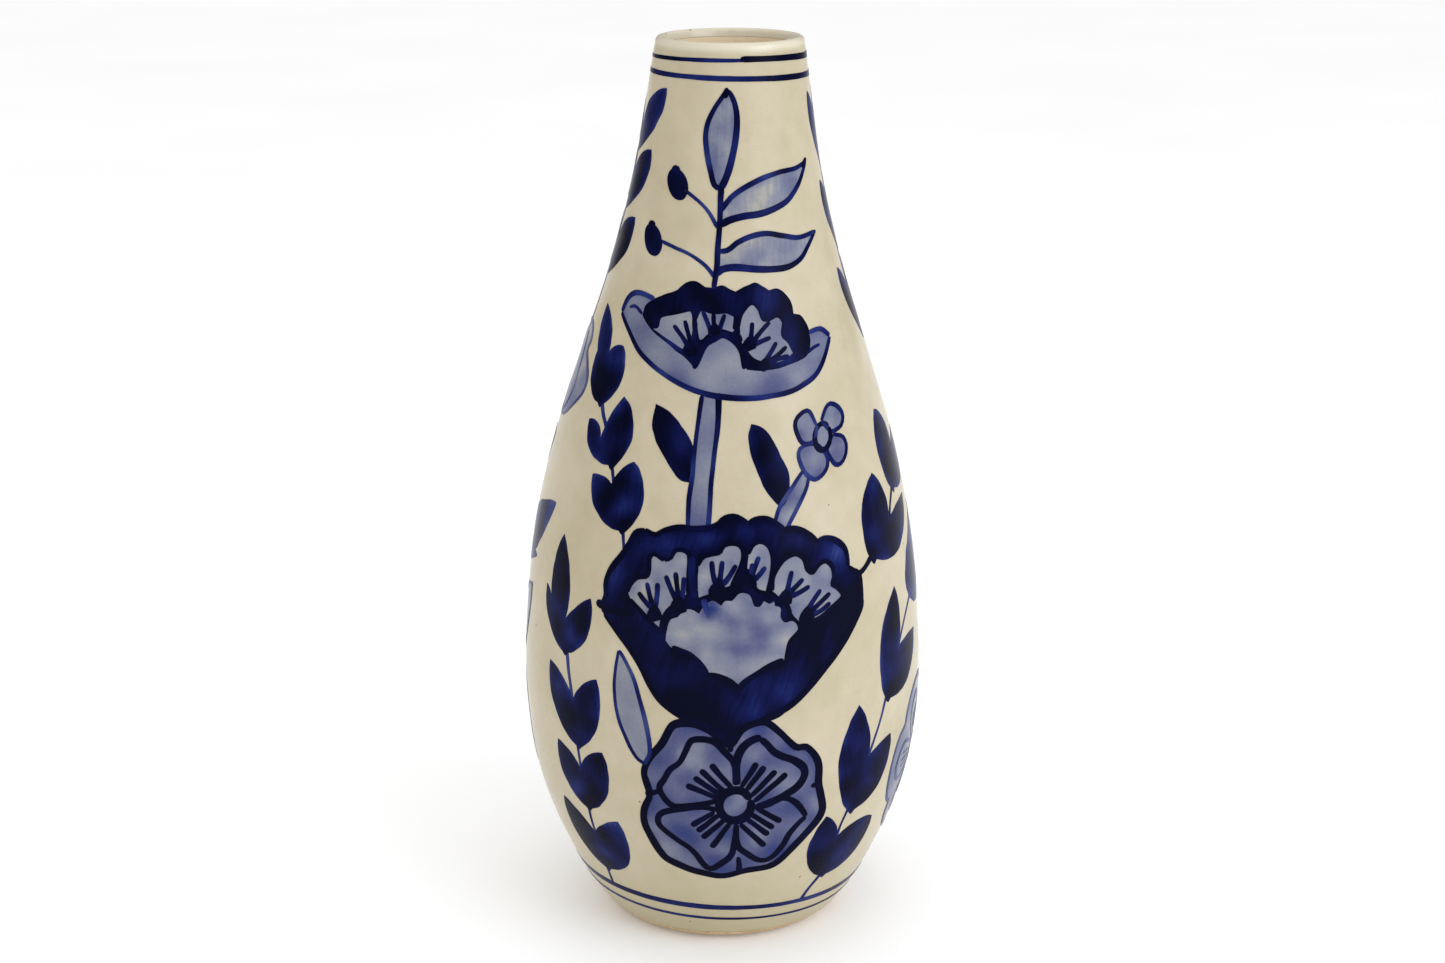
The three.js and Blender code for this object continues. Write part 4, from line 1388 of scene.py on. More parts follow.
@dataclass
class BowlPoppy:
    """Smaller poppy seen from the side: dark frill over a shallow pale bowl with a domed heart."""

    painter: Painter
    bowl: ClassVar[tuple[Run, ...]] = (
        ((-38.8, 218.3), (-36.4, 222.8), (-33.2, 225.2), (-29.1, 225.5), (-24.4, 224.3)),
        ((-24.4, 224.3), (-10, 219), (8, 219), (28.6, 213.8)), ((28.6, 213.8), (33, 214.5), (38.4, 211.4)),
        (
            (38.4, 211.4), (36, 206), (33, 202), (27, 198.3), (16.5, 196), (3, 195.7), (-8, 197.5),
            (-19.6, 201.9), (-30.2, 208.7), (-36.6, 215.4),
        ),
    )
    frill: ClassVar[tuple[Run, ...]] = (
        ((-29, 219), (-27.6, 222.4), (-24.4, 224.5), (-20.2, 226.4), (-16, 228)),
        ((-16, 228), (-12.8, 230.6), (-9.7, 231.1), (-6.7, 229.4)),
        ((-6.7, 229.4), (-4, 229.4), (-1.2, 230.2), (1.5, 228.7), (3, 228.1)),
        ((3, 228.1), (6.2, 229.7), (9.2, 230.8), (12, 229.4), (13.9, 228.1)),
        ((13.9, 228.1), (16.8, 228.5), (19.8, 226.6), (22.2, 223.4), (23, 220.2)),
        ((23, 220.2), (25.4, 219.6), (27.5, 217.4), (29, 214.8)),
        ((29, 214.8), (29.6, 211), (28.4, 207.2), (24.6, 205.6)),
        ((24.6, 205.6), (18, 204.2), (12, 203.8), (7, 204.4)),
        ((7, 204.4), (5.9, 208), (4.6, 211.6), (-1, 215)),
        ((-1, 215), (-6, 212.4), (-8, 208.6), (-10, 204.9)),
        ((-10, 204.9), (-12, 207), (-16, 209.6), (-20.4, 212.4), (-25, 215)),
    )
    windows: ClassVar[tuple[tuple[Run, ...], ...]] = (
        (
            ((-24.4, 215.4), (-22.4, 216), (-21.5, 218.9), (-17.3, 220.2), (-13, 221.4)),
            ((-13, 221.4), (-11.4, 221.8), (-10.8, 220)), ((-10.8, 220), (-10.6, 216), (-10.2, 212.6)),
            ((-10.2, 212.6), (-13, 210.4), (-16, 211.4), (-20.4, 213.6)),
        ),
        (
            ((-9.2, 219.4), (-7.6, 222.2), (-5.2, 221.4), (-2.2, 221.2), (0.6, 221.4), (3.2, 220.2)),
            ((3.2, 220.2), (3.6, 217.6), (2.4, 215.8)),
            ((2.4, 215.8), (-1, 216.6), (-5.2, 215.4), (-8, 213.4)),
        ),
        (
            ((4.8, 217), (5.6, 221), (8.4, 223.8), (10.4, 222)),
            ((10.4, 222), (12, 218.9), (14.5, 218.7), (17, 219.6), (18.7, 217.8)),
            ((18.7, 217.8), (18.4, 214), (20.8, 211.4), (22.7, 208.3)),
            ((22.7, 208.3), (18, 206), (13, 206.4), (9, 208), (7, 210.6), (5, 213.4)),
        ),
    )
    dome: ClassVar[Run] = (
        (-10, 204.6), (-8.5, 207.4), (-7.4, 210.2), (-6, 212.5), (-3.4, 213.9), (-0.8, 215), (3.5, 212.8),
        (5.3, 210.3), (6, 207.4), (6.4, 204.6),
    )
    stamens: ClassVar[tuple[Run, ...]] = (
        ((-11.4, 210.6), (-14, 214), (-17, 217.2)), ((-11, 211), (-12, 215), (-13.2, 219)),
        ((-10.6, 211), (-10, 215), (-9.4, 218.7)), ((-4, 214.6), (-5.4, 218), (-7.3, 222.2)),
        ((-3.4, 215), (-3.6, 218), (-3.8, 221.6)), ((-2.6, 215), (-1.4, 218), (-0.2, 221.4)),
        ((8, 212.6), (8.4, 215.4), (8.6, 218.7)), ((8.6, 212.4), (11.4, 215.6), (14.5, 218.4)),
        ((9, 212), (12, 213), (14.8, 213.7)), ((12.8, 206.4), (14.8, 209), (16.8, 212.2)),
        ((13.2, 206), (16.8, 208), (20.4, 210.5)), ((13.4, 205.6), (17, 206.8), (21.2, 207.5)),
        ((3, 216.4), (3.4, 221)),
    )
    blobs: ClassVar[tuple[tuple[float, float, float], ...]] = (
        (-11.1, 210.6, 2.8), (-3.4, 216.6, 2.2), (8, 212.4, 2.5), (12.8, 205.6, 2.2), (4.2, 214, 1.6),
    )

    def build(self) -> None:
        """Paints the bowl and then the frill and its lines."""
        wash = self.painter.canvas(5)
        tint = together(
            spot(-15.7, 200, 5, 0.14), spot(15.5, 198, 6, 0.14), spot(-31, 214, 6, 0.06),
            spot(30, 206, 6, 0.06), spot(-2, 206, 7, -0.04),
        )
        wash.fill(outline(*self.bowl), load=Load(body=0.16, rim=0.08, cloud=0.06, cloud_mm=10), tint=tint)
        ground = (
            (-25.5, 217), (-19, 224), (-8, 227), (8, 227), (16, 224), (20, 221), (26, 212), (24, 207),
            (18, 205), (13, 205.3), (9, 206.5), (7, 209.5), (5, 212.6), (-1, 215.8), (-6.5, 213.4),
            (-9, 209), (-12, 208.5), (-16, 210.4), (-20.4, 213), (-25, 215.2),
        )
        wash.fill(outline(ground), lift=0.08, load=Load(body=0.13, rim=0, cloud=0.08))
        self.painter.hang(wash, "upper_poppy_wash", Finish.WASH)
        dark = self.painter.canvas(6)
        windows = [outline(*window) for window in self.windows]
        tint = together(
            spot(14, 225, 6, -0.12), spot(-24, 221, 4, 0.08), spot(20, 207, 5, -0.2),
            spot(-17, 212, 4, -0.16),
        )
        dark.fill(
            outline(*self.frill), windows, lift=0.13,
            load=Load(body=0.92, rim=0.05, cloud=0.16, cloud_mm=8), grain=80, tint=tint,
        )
        line = Load(body=0.72, cloud=0.2, cloud_mm=10)
        dark.stroke(
            ((-24.4, 224.6), (-29.1, 225.5), (-33.2, 225.1), (-36.4, 222.8), (-38.9, 218.6)),
            (1.6, 1.7, 1.5), lift=0.15, load=line,
        )
        low = (
            (-38.9, 218.6), (-34.9, 214), (-30.2, 208.7), (-25.5, 205.2), (-19.6, 201.9), (-14, 199.5),
            (-8, 197.5), (1, 196), (9, 195.6), (16.5, 196), (23, 196.8), (27, 198.3), (31.5, 200.5),
            (34, 203), (36, 206), (38.6, 211.2),
        )
        dark.stroke(low, (1.4, 1.7, 1.6, 1.9, 1.6, 1.8, 1.5), lift=0.15, load=line)
        dark.stroke(((38.4, 211.6), (34, 214.3), (29, 213.8)), 1.5, lift=0.15, load=line)
        dark.stroke(((-35, 220.6), (-32.4, 221.3), (-29, 219.4)), (1, 1.2), lift=0.15, load=line)
        dark.stroke(((33.6, 209.6), (31, 209.2), (28.2, 207.8)), (1, 1.2), lift=0.15, load=line)
        dark.stroke(self.dome, (1.7, 2.1, 1.7), lift=OVER_LIFT, load=Load(body=0.9, cloud=0.1))
        for run in self.stamens:
            dark.stroke(run, (1.8, 1.4, 1.5), lift=0.18, load=Load(body=0.88, cloud=0.15, start=0.1))
        for x, y, size in self.blobs:
            dark.leaf(
                (x - 0.3, y - size), (x + 0.2, y + size), size * 0.9, size * 0.9, lift=0.19,
                load=Load(body=0.95),
            )
        self.painter.hang(dark, "upper_poppy_lines", Finish.DARK)


@dataclass
class BudSpray:
    """Spray over the upper poppy: three outlined leaves and two dark berries on one stem."""

    painter: Painter
    leaves: ClassVar[tuple[tuple[Run, Run], ...]] = (
        (
            (
                (-2.2, 259.7), (-4.4, 261.1), (-5.8, 266.1), (-6.9, 271.1), (-7.3, 276.7), (-6.4, 281.1),
                (-4.2, 285.6), (-1.4, 289.4), (-1, 290.5),
            ),
            (
                (-1, 290.5), (0.3, 289.4), (1.9, 285.6), (2.5, 280.6), (2.2, 275.6), (1.4, 270.6),
                (0.3, 265.6), (-1.1, 261.7), (-2.2, 259.7),
            ),
        ),
        (
            (
                (-2.1, 253), (1.1, 257.2), (5.6, 260.3), (11.1, 262.8), (17.2, 264.2), (24.4, 264.9),
                (29.6, 266.4),
            ),
            (
                (29.6, 266.4), (26.7, 261.1), (23.9, 257.8), (20.6, 255), (15.6, 253.1), (11.1, 251.9),
                (5.6, 251.4), (1.1, 250.3), (-2.2, 248.6),
            ),
        ),
        (
            (
                (-2.4, 240.4), (0.3, 240.8), (3.3, 243.1), (7.8, 245), (13.3, 245.6), (18.9, 244.4),
                (25.6, 243.3), (33.2, 244),
            ),
            (
                (33.2, 244), (29.4, 240), (26.1, 236.7), (21.1, 234.7), (15.6, 234.4), (8.9, 235),
                (3.3, 235.6), (-1.1, 235), (-3.3, 233.3),
            ),
        ),
    )
    berries: ClassVar[tuple[tuple[Point, Run], ...]] = (
        ((-16.9, 260.6), ((-14, 259), (-8.9, 255.6), (-5.6, 252.2), (-2.9, 247.6))),
        ((-26.1, 242.5), ((-22.6, 242.5), (-16.7, 240.8), (-11.1, 238.9), (-6.7, 236.1), (-3.3, 232))),
    )

    def build(self) -> None:
        """Paints washes, outlines, berries and stem in one piece."""
        canvas = self.painter.canvas(7)
        for upper, lower in self.leaves:
            canvas.fill(outline(upper, lower), load=Load(body=0.13, rim=0.05, cloud=0.14, cloud_mm=9))
        line = Load(body=0.78, cloud=0.22, cloud_mm=8)
        for upper, lower in self.leaves:
            canvas.stroke(upper, (1.7, 1.8, 1.6, 1.4), load=line)
            canvas.stroke(lower, (1.4, 1.9, 2.2, 2.4), load=line)
        canvas.stroke(
            ((-3.9, 228.9), (-3.1, 234.4), (-2.5, 245.6), (-2.2, 256.7), (-2, 260.4)), (1.7, 1.9, 1.7, 2.1),
            lift=OVER_LIFT, load=line,
        )
        for knob in (
            ((-1.5, 288), (-0.8, 291.4)), ((27.6, 264.6), (29.8, 267.6)), ((31.2, 243), (34, 244.4)),
        ):
            canvas.stroke(knob, (2.3, 1.2), lift=OVER_LIFT, load=Load(body=0.95))
        for (x, y), stem in self.berries:
            canvas.stroke(stem, (1.2, 1.1, 1.4), load=Load(body=0.6, cloud=0.16, end=0.2))
            egg = [
                (x + 3.9 * math.cos(a) - 0.8 * math.sin(a), y + 5.0 * math.sin(a))
                for a in np.radians(range(0, 360, 24))
            ]
            canvas.fill(outline(egg), lift=0.16, load=Load(body=0.97, rim=-0.1, cloud=0.08))
            canvas.stroke(
                ((x - 0.6, y + 3.6), (x - 1.2, y + 5.8)), (4, 2.4), lift=OVER_LIFT, load=Load(body=0.9),
            )
        self.painter.hang(canvas, "bud_spray", Finish.LINE)


@dataclass
class Blossom:
    """Small blossom of four outlined petals round an open eye, on a short double-lined stem."""

    painter: Painter
    petals: ClassVar[tuple[Run, ...]] = (
        (
            (31.6, 185.4), (28.4, 190.2), (24.7, 188.8), (23.6, 186.6), (24.4, 183.5), (26.5, 180.4),
            (30.6, 180.8),
        ),
        (
            (33.6, 186.4), (35.9, 190.5), (37.8, 191.1), (41.2, 189.4), (43.2, 186.5), (42.4, 183.8),
            (39.4, 182.6), (37.4, 182.6),
        ),
        (
            (38.4, 181.6), (42.4, 180.3), (44.4, 177.4), (43.8, 174.1), (41.5, 172.1), (39.2, 172.2),
            (36.7, 175), (35.6, 177.8),
        ),
        (
            (31.6, 179.6), (28, 179.9), (25.3, 178.8), (24.8, 176.6), (25.9, 173.5), (27.9, 170.6),
            (30.9, 168.8), (34, 170), (36, 172.6), (35.6, 175.5), (33.6, 178),
        ),
    )
    stem: ClassVar[tuple[Run, Run]] = (
        ((26.5, 172.1), (22.9, 167.6), (18.8, 162.4), (16.8, 157.2)),
        ((28.5, 170), (27.9, 167.1), (24.7, 161.2), (20.7, 154.6)),
    )

    def build(self) -> None:
        """Paints the washes, then the outlines."""
        canvas = self.painter.canvas(8)
        pale = Load(body=0.2, rim=0.04, cloud=0.14, cloud_mm=6)
        left, right = self.stem
        canvas.fill(
            outline(left, ((16.8, 157.2), (20.7, 154.6)), right[::-1], ((28.5, 170), (26.5, 172.1))),
            load=pale,
        )
        for petal in self.petals:
            canvas.fill(outline(petal), lift=0.08, load=pale)
        eye = [(34.1 + 2.8 * math.cos(a), 181.5 + 3.6 * math.sin(a)) for a in np.radians(range(0, 360, 30))]
        canvas.fill(outline(eye), lift=0.1, load=Load(body=0.14, cloud=0.06))
        line = Load(body=0.72, cloud=0.2, cloud_mm=7)
        for petal in self.petals:
            canvas.stroke((*petal, petal[0]), (1.2, 1.5, 1.3), load=line)
        for run in self.stem:
            canvas.stroke(run, (1.2, 1.4, 1.3), load=Load(body=0.62, cloud=0.2))
        ring = [
            (34.1 + 3.3 * math.cos(a), 181.5 + 4.1 * math.sin(a))
            for a in np.radians(range(40, 421, 30))
        ]
        canvas.stroke(ring, (1.6, 2, 1.6), lift=OVER_LIFT, load=Load(body=0.9, cloud=0.1))
        self.painter.hang(canvas, "blossom", Finish.WASH)


@dataclass
class Stems:
    """Main stem between the poppies, the outlined wash leaf and the two dark leaves beside it."""

    painter: Painter
    left: ClassVar[Run] = (
        (-7.1, 196.5), (-8.2, 189.4), (-9.1, 182.4), (-9.7, 173.5), (-10.9, 164.7), (-11.2, 155.6),
    )
    right: ClassVar[Run] = (
        (-1.9, 197.4), (-1.8, 191.8), (-2.6, 182.4), (-3.5, 173.5), (-4.1, 164.7), (-4.7, 155.3),
    )
    wash_leaf: ClassVar[tuple[Run, Run]] = (
        ((-35.3, 113.4), (-36.6, 107), (-37.2, 100), (-36, 92), (-33, 84), (-29, 77.5), (-26, 75.6)),
        ((-26, 75.6), (-24.2, 80), (-25, 88), (-27, 96), (-30, 105), (-33, 110.5), (-35.3, 113.4)),
    )
    dark_leaves: ClassVar[dict[str, tuple[Run, Run]]] = {
        "leaf_left": (
            (
                (-10.6, 169.8), (-13.4, 170.2), (-16, 172.4), (-19.4, 177.1), (-22.4, 181.8),
                (-23.8, 186.2), (-22.6, 192.8),
            ),
            (
                (-22.6, 192.8), (-18.2, 191.2), (-15.3, 188.8), (-12.4, 185.3), (-10, 181.2), (-9.6, 175.3),
                (-10.6, 169.8),
            ),
        ),
        "leaf_right": (
            (
                (19, 161.6), (17.2, 162.8), (13.5, 167.6), (10.6, 173.5), (8.5, 179.4), (7.8, 184.2),
                (8.6, 187.9),
            ),
            (
                (8.6, 187.9), (12.4, 186.5), (15.9, 182.4), (18.8, 177.1), (21.2, 172.4), (21.8, 167.6),
                (20.6, 163.2), (19, 161.6),
            ),
        ),
    }

    def build(self) -> None:
        """Paints the four pieces."""
        canvas = self.painter.canvas(9)
        ends = ((self.left[-1], (-7.9, 154), self.right[-1]), (self.right[0], self.left[0]))
        canvas.fill(
            outline(self.left, ends[0], self.right[::-1], ends[1]),
            load=Load(body=0.21, cloud=0.1, cloud_mm=14),
        )
        canvas.stroke(self.left, (1.5, 1.3, 1.6, 1.4), load=Load(body=0.7, cloud=0.2, start=0.2))
        canvas.stroke(self.right, (2.1, 1.6, 1.5, 1.7), load=Load(body=0.74, cloud=0.2, start=0.2))
        self.painter.hang(canvas, "main_stem", Finish.WASH)

        canvas = self.painter.canvas(10)
        left, right = self.wash_leaf
        canvas.fill(outline(left, right), load=Load(body=0.09, cloud=0.06, cloud_mm=12))
        line = Load(body=0.62, cloud=0.2, cloud_mm=12)
        canvas.stroke(left, (1, 1.2, 1.3, 1.2), load=line)
        canvas.stroke(right, (1.3, 1.7, 1.4, 1.2), load=line)
        self.painter.hang(canvas, "wash_leaf", Finish.WASH)

        for part, (up, down) in self.dark_leaves.items():
            canvas = self.painter.canvas(11 + len(part))
            middle = (up[3][0] + down[3][0]) / 2
            canvas.fill(
                outline(up, down), lift=LEAF_LIFT, load=Load(body=0.97, rim=-0.1, rim_mm=1.0, cloud=0.12),
                grain=115, tint=spot(middle + 3, up[3][1] + 4, 4, -0.12),
            )
            self.painter.hang(canvas, part, Finish.DARK)


@dataclass
class Leaf:
    """One dark leaf: base, tip, and bulge to the left and right of the line between them."""

    base: Point
    tip: Point
    left: float
    right: float


def bowed(start: Point, end: Point, bulge: float) -> Run:
    """Run from one point to the next that bows to the left of its way.

    Args:
        start: Where it starts.
        end: Where it ends.
        bulge: How far its middle stands off the straight line.

    Returns:
        Points for a smooth run.
    """
    first, last = Vector((*start, 0)), Vector((*end, 0))
    side = Vector((first.y - last.y, last.x - first.x, 0)).normalized()
    shares, swell = (0.12, 0.35, 0.62, 0.86), (0.5, 0.92, 1.0, 0.55)
    middle = [first.lerp(last, t) + side * bulge * s for t, s in zip(shares, swell)]
    return (start, *((p.x, p.y) for p in middle), end)


@dataclass
class Frond:
    """Cluster of leaves pressed from one base: an outline of tips and notches, clockwise.

    Attributes:
        base: Where the leaves leave the stem.
        rim: Each next corner, with how far the run up to it bows outwards; the last run returns to the base.
        back: Bow of that last run.
    """

    base: Point
    rim: tuple[tuple[float, float, float], ...]
    back: float

    def edge(self) -> list[Vector]:
        """Closed outline of the cluster, blunt at its base."""
        x, y = self.base
        corners = [(x - 1.3, y + 0.5), *((px, py) for px, py, _ in self.rim), (x + 1.4, y + 0.5)]
        bows = [*(bulge for _, _, bulge in self.rim), self.back]
        runs = [bowed(start, end, bulge) for start, end, bulge in zip(corners, corners[1:], bows)]
        return outline(*runs, ((x + 1.4, y + 0.5), (x + 0.1, y - 0.7), (x - 1.3, y + 0.5)))


@dataclass
class Sprig:
    """Climbing sprig of dark fronds on thin stems, with its own meridian.

    Attributes:
        part: Name of the CAD node after its side.
        meridian: Angle of its middle, in degrees from its side's.
        fronds: Leaf clusters from the top down.
        stems: Centre lines of the stems between them.
        stem_width: Width of the stems.
        stem_load: Colour that they are painted with.
    """

    part: str
    meridian: float
    fronds: tuple[Frond, ...]
    stems: tuple[Run, ...]
    stem_width: float = 1.3
    stem_load: float = 0.58

    def build(self, painter: Painter) -> None:
        """Paints the stems and then the fronds over their ends.

        Args:
            painter: Side that the sprig belongs to.
        """
        canvas = painter.canvas(20 + sum(map(ord, self.part)) % 60)
        for index, stem in enumerate(self.stems):
            width = self.stem_width * (1.35 if index == 0 else 1.0)
            canvas.stroke(
                stem, (width, width * 0.8, width), lift=0.05, load=Load(body=self.stem_load, cloud=0.16),
            )
        for frond in self.fronds:
            x, y = frond.base
            tint = together(
                spot(x + canvas.random.uniform(-5, 5), y + canvas.random.uniform(8, 20), 5, -0.12),
                spot(x, y + 2, 4, 0.12),
            )
            load = Load(
                body=0.91, rim=canvas.random.uniform(-0.24, -0.1), rim_mm=0.9, cloud=0.18, cloud_mm=9,
            )
            canvas.fill(frond.edge(), lift=LEAF_LIFT, load=load, grain=100, tint=tint)
        canvas.hang(f"{painter.prefix}_{self.part}", Finish.DARK, painter.meridian + self.meridian)


SPRIGS: tuple[Sprig, ...] = (
    Sprig(
        "inner_sprig", -60,
        (
            Frond(
                (7.8, 189),
                (
                    (-2.8, 201.6, 2.8), (-2.4, 204.6, 0.2), (-5.5, 219.5, 1.4), (4.8, 205.6, 2.6),
                    (11.1, 208.6, 1.2),
                ),
                4.4,
            ),
            Frond((20.6, 171.3), ((4.4, 184, 4.2), (12.8, 179, 2.2), (17.8, 193.4, 1.2)), 5.4),
            Frond((30.6, 151.7), ((13.3, 167.8, 4.2), (22.4, 166.4, 1), (28.9, 174.4, 1.2)), 5.2),
        ),
        (
            ((8.4, 190.4), (10.6, 187), (13.3, 183.9), (17, 179)),
            ((20.6, 172.4), (22.6, 168), (24.4, 163.6), (26.6, 158)),
            ((31, 152.6), (31.8, 149.4), (33, 145.6)),
        ),
    ),
    Sprig(
        "outer_sprig", -55,
        (
            Frond(
                (5.6, 106.7),
                (
                    (-8.5, 127.2, 3.6), (-4.4, 123.4, 0.6), (-0.8, 145.9, 2), (5.0, 118.8, 3.4),
                    (16.4, 128.4, 0.7),
                ),
                5,
            ),
            Frond((12.2, 75.2), ((-3.3, 102.2, 4.4), (10.4, 91.8, 2), (21, 101.6, 1.8)), 5),
            Frond((12.8, 52.2), ((0.6, 74.8, 4.4), (12, 67.4, 1.6), (23, 76.2, 2)), 5.4),
            Frond((10.4, 26.7), ((-1.7, 52.4, 5), (12, 42.8, 1.6), (25, 50.8, 1.3)), 6.6),
        ),
        (
            ((6.6, 108), (8, 101), (9.6, 94), (10.8, 88)), ((11.6, 76), (12.2, 68.9), (12.4, 62)),
            ((12.7, 53.5), (12.2, 47), (12, 40)), ((10, 28.4), (9.2, 24), (8.6, 19.6)),
        ),
    ),
    Sprig(
        "lower_sprig", 50,
        (
            Frond((-11.7, 26.1), ((-20.3, 53.2, 6.8), (-12.8, 43, 1.6), (4.4, 45.6, 2.6)), 5.6),
            Frond((-9.2, 51.7), ((-10.6, 91.7, 7.6), (-4.8, 71.6, 2.2), (7.4, 76, 0.7)), 6),
            Frond((4.6, 88.9), ((11.4, 126.8, 6.6), (12.4, 105.6, 2.2), (27.8, 107.4, 0.9)), 6.2),
        ),
        (
            ((-16.4, 16.8), (-15.4, 22), (-12.6, 28)), ((-12.8, 42), (-12.6, 48), (-10.8, 54.4)),
            ((-5.2, 70), (-3.6, 74.6), (0.2, 83), (3.9, 91.6)),
            ((11, 103), (13.4, 107.6), (17.2, 112.8), (24.4, 120)),
        ),
    ),
    Sprig(
        "shoulder_sprig", 60,
        (
            Frond((-10.7, 138), ((-3.9, 166, 5.6), (2.3, 149.4, 2.6), (20.5, 153, 0.9)), 7.4),
            Frond((10, 156.7), ((7.8, 184.4, 5), (18, 169.6, 3.4), (35, 172, 2.6)), 6.4),
        ),
        (((-20.6, 135.4), (-16.4, 137), (-11.9, 140)), ((1.8, 147.4), (4.4, 152.6), (9.4, 159.4))),
        stem_width=1.6, stem_load=0.96,
    ),
)


@dataclass
class SidePanels:
    """Paler painting at the two sides: rosettes, flower heads, leaves and the neck's sprigs."""

    form: VaseForm
    palette: Palette

    def build(self) -> None:
        """Paints the eight side pieces."""
        self._rosette("left_rosette", -93, (-4, 68), 22, 17)
        self._rosette("right_rosette", 88, (-8, 60.6), 27, 24)
        self._wash_leaf("left_wash_leaf", -93, Leaf((-6, 92), (20, 122), 8.5, 8))
        self._dark_leaves(
            "left_leaf", -93, (Leaf((4, 134), (31, 154), 7.6, 8.6), Leaf((-6, 129), (22, 132.6), 3.8, 3.6)),
        )
        self._dark_leaves("right_leaf", 88, (Leaf((-20, 119), (6, 147), 9, 13),))
        self._flower()
        self._neck(
            "left_neck_sprig", -84,
            (
                Leaf((0.6, 227), (13.2, 248), 6.4, 6), Leaf((1.4, 249), (13.6, 270), 6.2, 5.8),
                Leaf((1.2, 268), (16, 290), 5.8, 5),
            ),
        )
        self._neck(
            "right_neck_sprig", 85,
            (
                Leaf((0.6, 205), (-9, 230.6), 4.4, 4.6), Leaf((1, 235), (-6, 259), 4.2, 4.4),
                Leaf((-0.2, 263), (-6.4, 288), 3.6, 4),
            ),
        )

    def _canvas(self, node: str, fade: float) -> Canvas:
        """Canvas with a seed of its own."""
        return Canvas(self.form, self.palette, sum(map(ord, node)), fade=fade)

    def _rosette(self, node: str, meridian: float, middle: Point, tall: float, wide: float) -> None:
        """Paints a pale rosette of rounded petals round an eye.

        Args:
            node: CAD node that it stands for.
            meridian: Turn of its painting round the vase, in degrees.
            middle: Middle of the eye.
            tall: Half its height.
            wide: Half its width.
        """
        canvas = self._canvas(node, 0.0)
        x, y = middle
        lobes = 5
        edge = []
        for angle in np.radians(range(0, 360, 8)):
            swell = 0.9 + 0.15 * abs(math.sin(lobes * angle / 2)) ** 0.7
            edge.append((x + wide * swell * math.cos(angle), y + tall * swell * math.sin(angle)))
        canvas.fill(outline(edge), load=Load(body=0.08, rim=0.05, cloud=0.08, cloud_mm=9))
        line = Load(body=0.34, cloud=0.14, cloud_mm=9)
        canvas.stroke([*edge, edge[0]], (1.2, 1.5, 1.2, 1.6, 1.2), load=line)
        for lobe in range(lobes):
            angle = math.tau * (lobe + 0.5) / lobes
            arc = []
            for turn in np.linspace(-0.5, 0.5, 7):
                reach = 0.24 + 0.6 * max(0.0, math.cos(turn * math.pi)) ** 0.5
                bearing = angle + turn * 1.15
                arc.append((x + wide * reach * math.cos(bearing), y + tall * reach * math.sin(bearing)))
            canvas.stroke(arc, (1.2, 1.6, 1.2), load=line)
            for turn in (-0.16, 0.0, 0.16):
                across, up = wide * math.cos(angle + turn), tall * math.sin(angle + turn)
                run = tuple((x + across * reach, y + up * reach) for reach in (0.3, 0.62))
                canvas.stroke(run, 0.9, load=line)
        ring = [(x + 4 * math.cos(a), y + 4.6 * math.sin(a)) for a in np.radians(range(0, 391, 30))]
        canvas.stroke(ring, 1.3, lift=OVER_LIFT, load=line)
        canvas.hang(node, Finish.WASH, meridian)

    def _wash_leaf(self, node: str, meridian: float, leaf: Leaf) -> None:
        """Paints one pale leaf with a thin outline.

        Args:
            node: CAD node that it stands for.
            meridian: Turn of its painting round the vase, in degrees.
            leaf: Base, tip and half widths.
        """
        canvas = self._canvas(node, 0.0)
        start, end = Vector((*leaf.base, 0)), Vector((*leaf.tip, 0))
        side = Vector((start.y - end.y, end.x - start.x, 0)).normalized()
        shares = (0, 0.2, 0.5, 0.8, 1)
        swell = (0, 0.75, 1, 0.62, 0)
        left = [tuple((start.lerp(end, t) + side * leaf.left * s).xy) for t, s in zip(shares, swell)]
        right = [tuple((start.lerp(end, t) - side * leaf.right * s).xy) for t, s in zip(shares, swell)]
        canvas.fill(outline(left, right[::-1]), load=Load(body=0.1, cloud=0.1))
        for run in (left, right):
            canvas.stroke(run, (1, 1.3, 1), load=Load(body=0.5, cloud=0.14))
        canvas.hang(node, Finish.WASH, meridian)

    def _dark_leaves(self, node: str, meridian: float, leaves: tuple[Leaf, ...]) -> None:
        """Paints dark leaves in a paler load than the front's, lighter at their edges.

        Args:
            node: CAD node that they stand for.
            meridian: Turn of their painting round the vase, in degrees.
            leaves: Base, tip and half widths of each.
        """
        canvas = self._canvas(node, 0.0)
        for leaf in leaves:
            canvas.leaf(
                leaf.base, leaf.tip, leaf.left, leaf.right,
                load=Load(body=0.74, rim=-0.14, cloud=0.2, cloud_mm=8),
            )
        canvas.hang(node, Finish.DARK, meridian)

    def _flower(self) -> None:
        """Paints the pale two-lobed flower head on the left shoulder."""
        canvas = self._canvas("left_flower", 0.0)
        edge = (
            (-14, 184), (-4, 180.4), (6, 180), (14, 184.6), (19.6, 190), (19.8, 194.6), (15.4, 199.4),
            (11, 203), (11.6, 206.4), (8, 210.4), (0, 211.2), (-8, 209), (-13, 203), (-15.6, 194),
        )
        canvas.fill(outline(edge), load=Load(body=0.16, rim=0.05, cloud=0.14, cloud_mm=7))
        line = Load(body=0.4, cloud=0.14)
        canvas.stroke((*edge, edge[0]), (1, 1.3, 1), load=line)
        canvas.stroke(((0, 181), (-7, 190), (-7, 200), (-3, 208)), 1.1, load=line)
        canvas.stroke(((3, 181), (9, 188), (8, 198), (4, 208)), 1.1, load=line)
        canvas.hang("left_flower", Finish.WASH, -87)

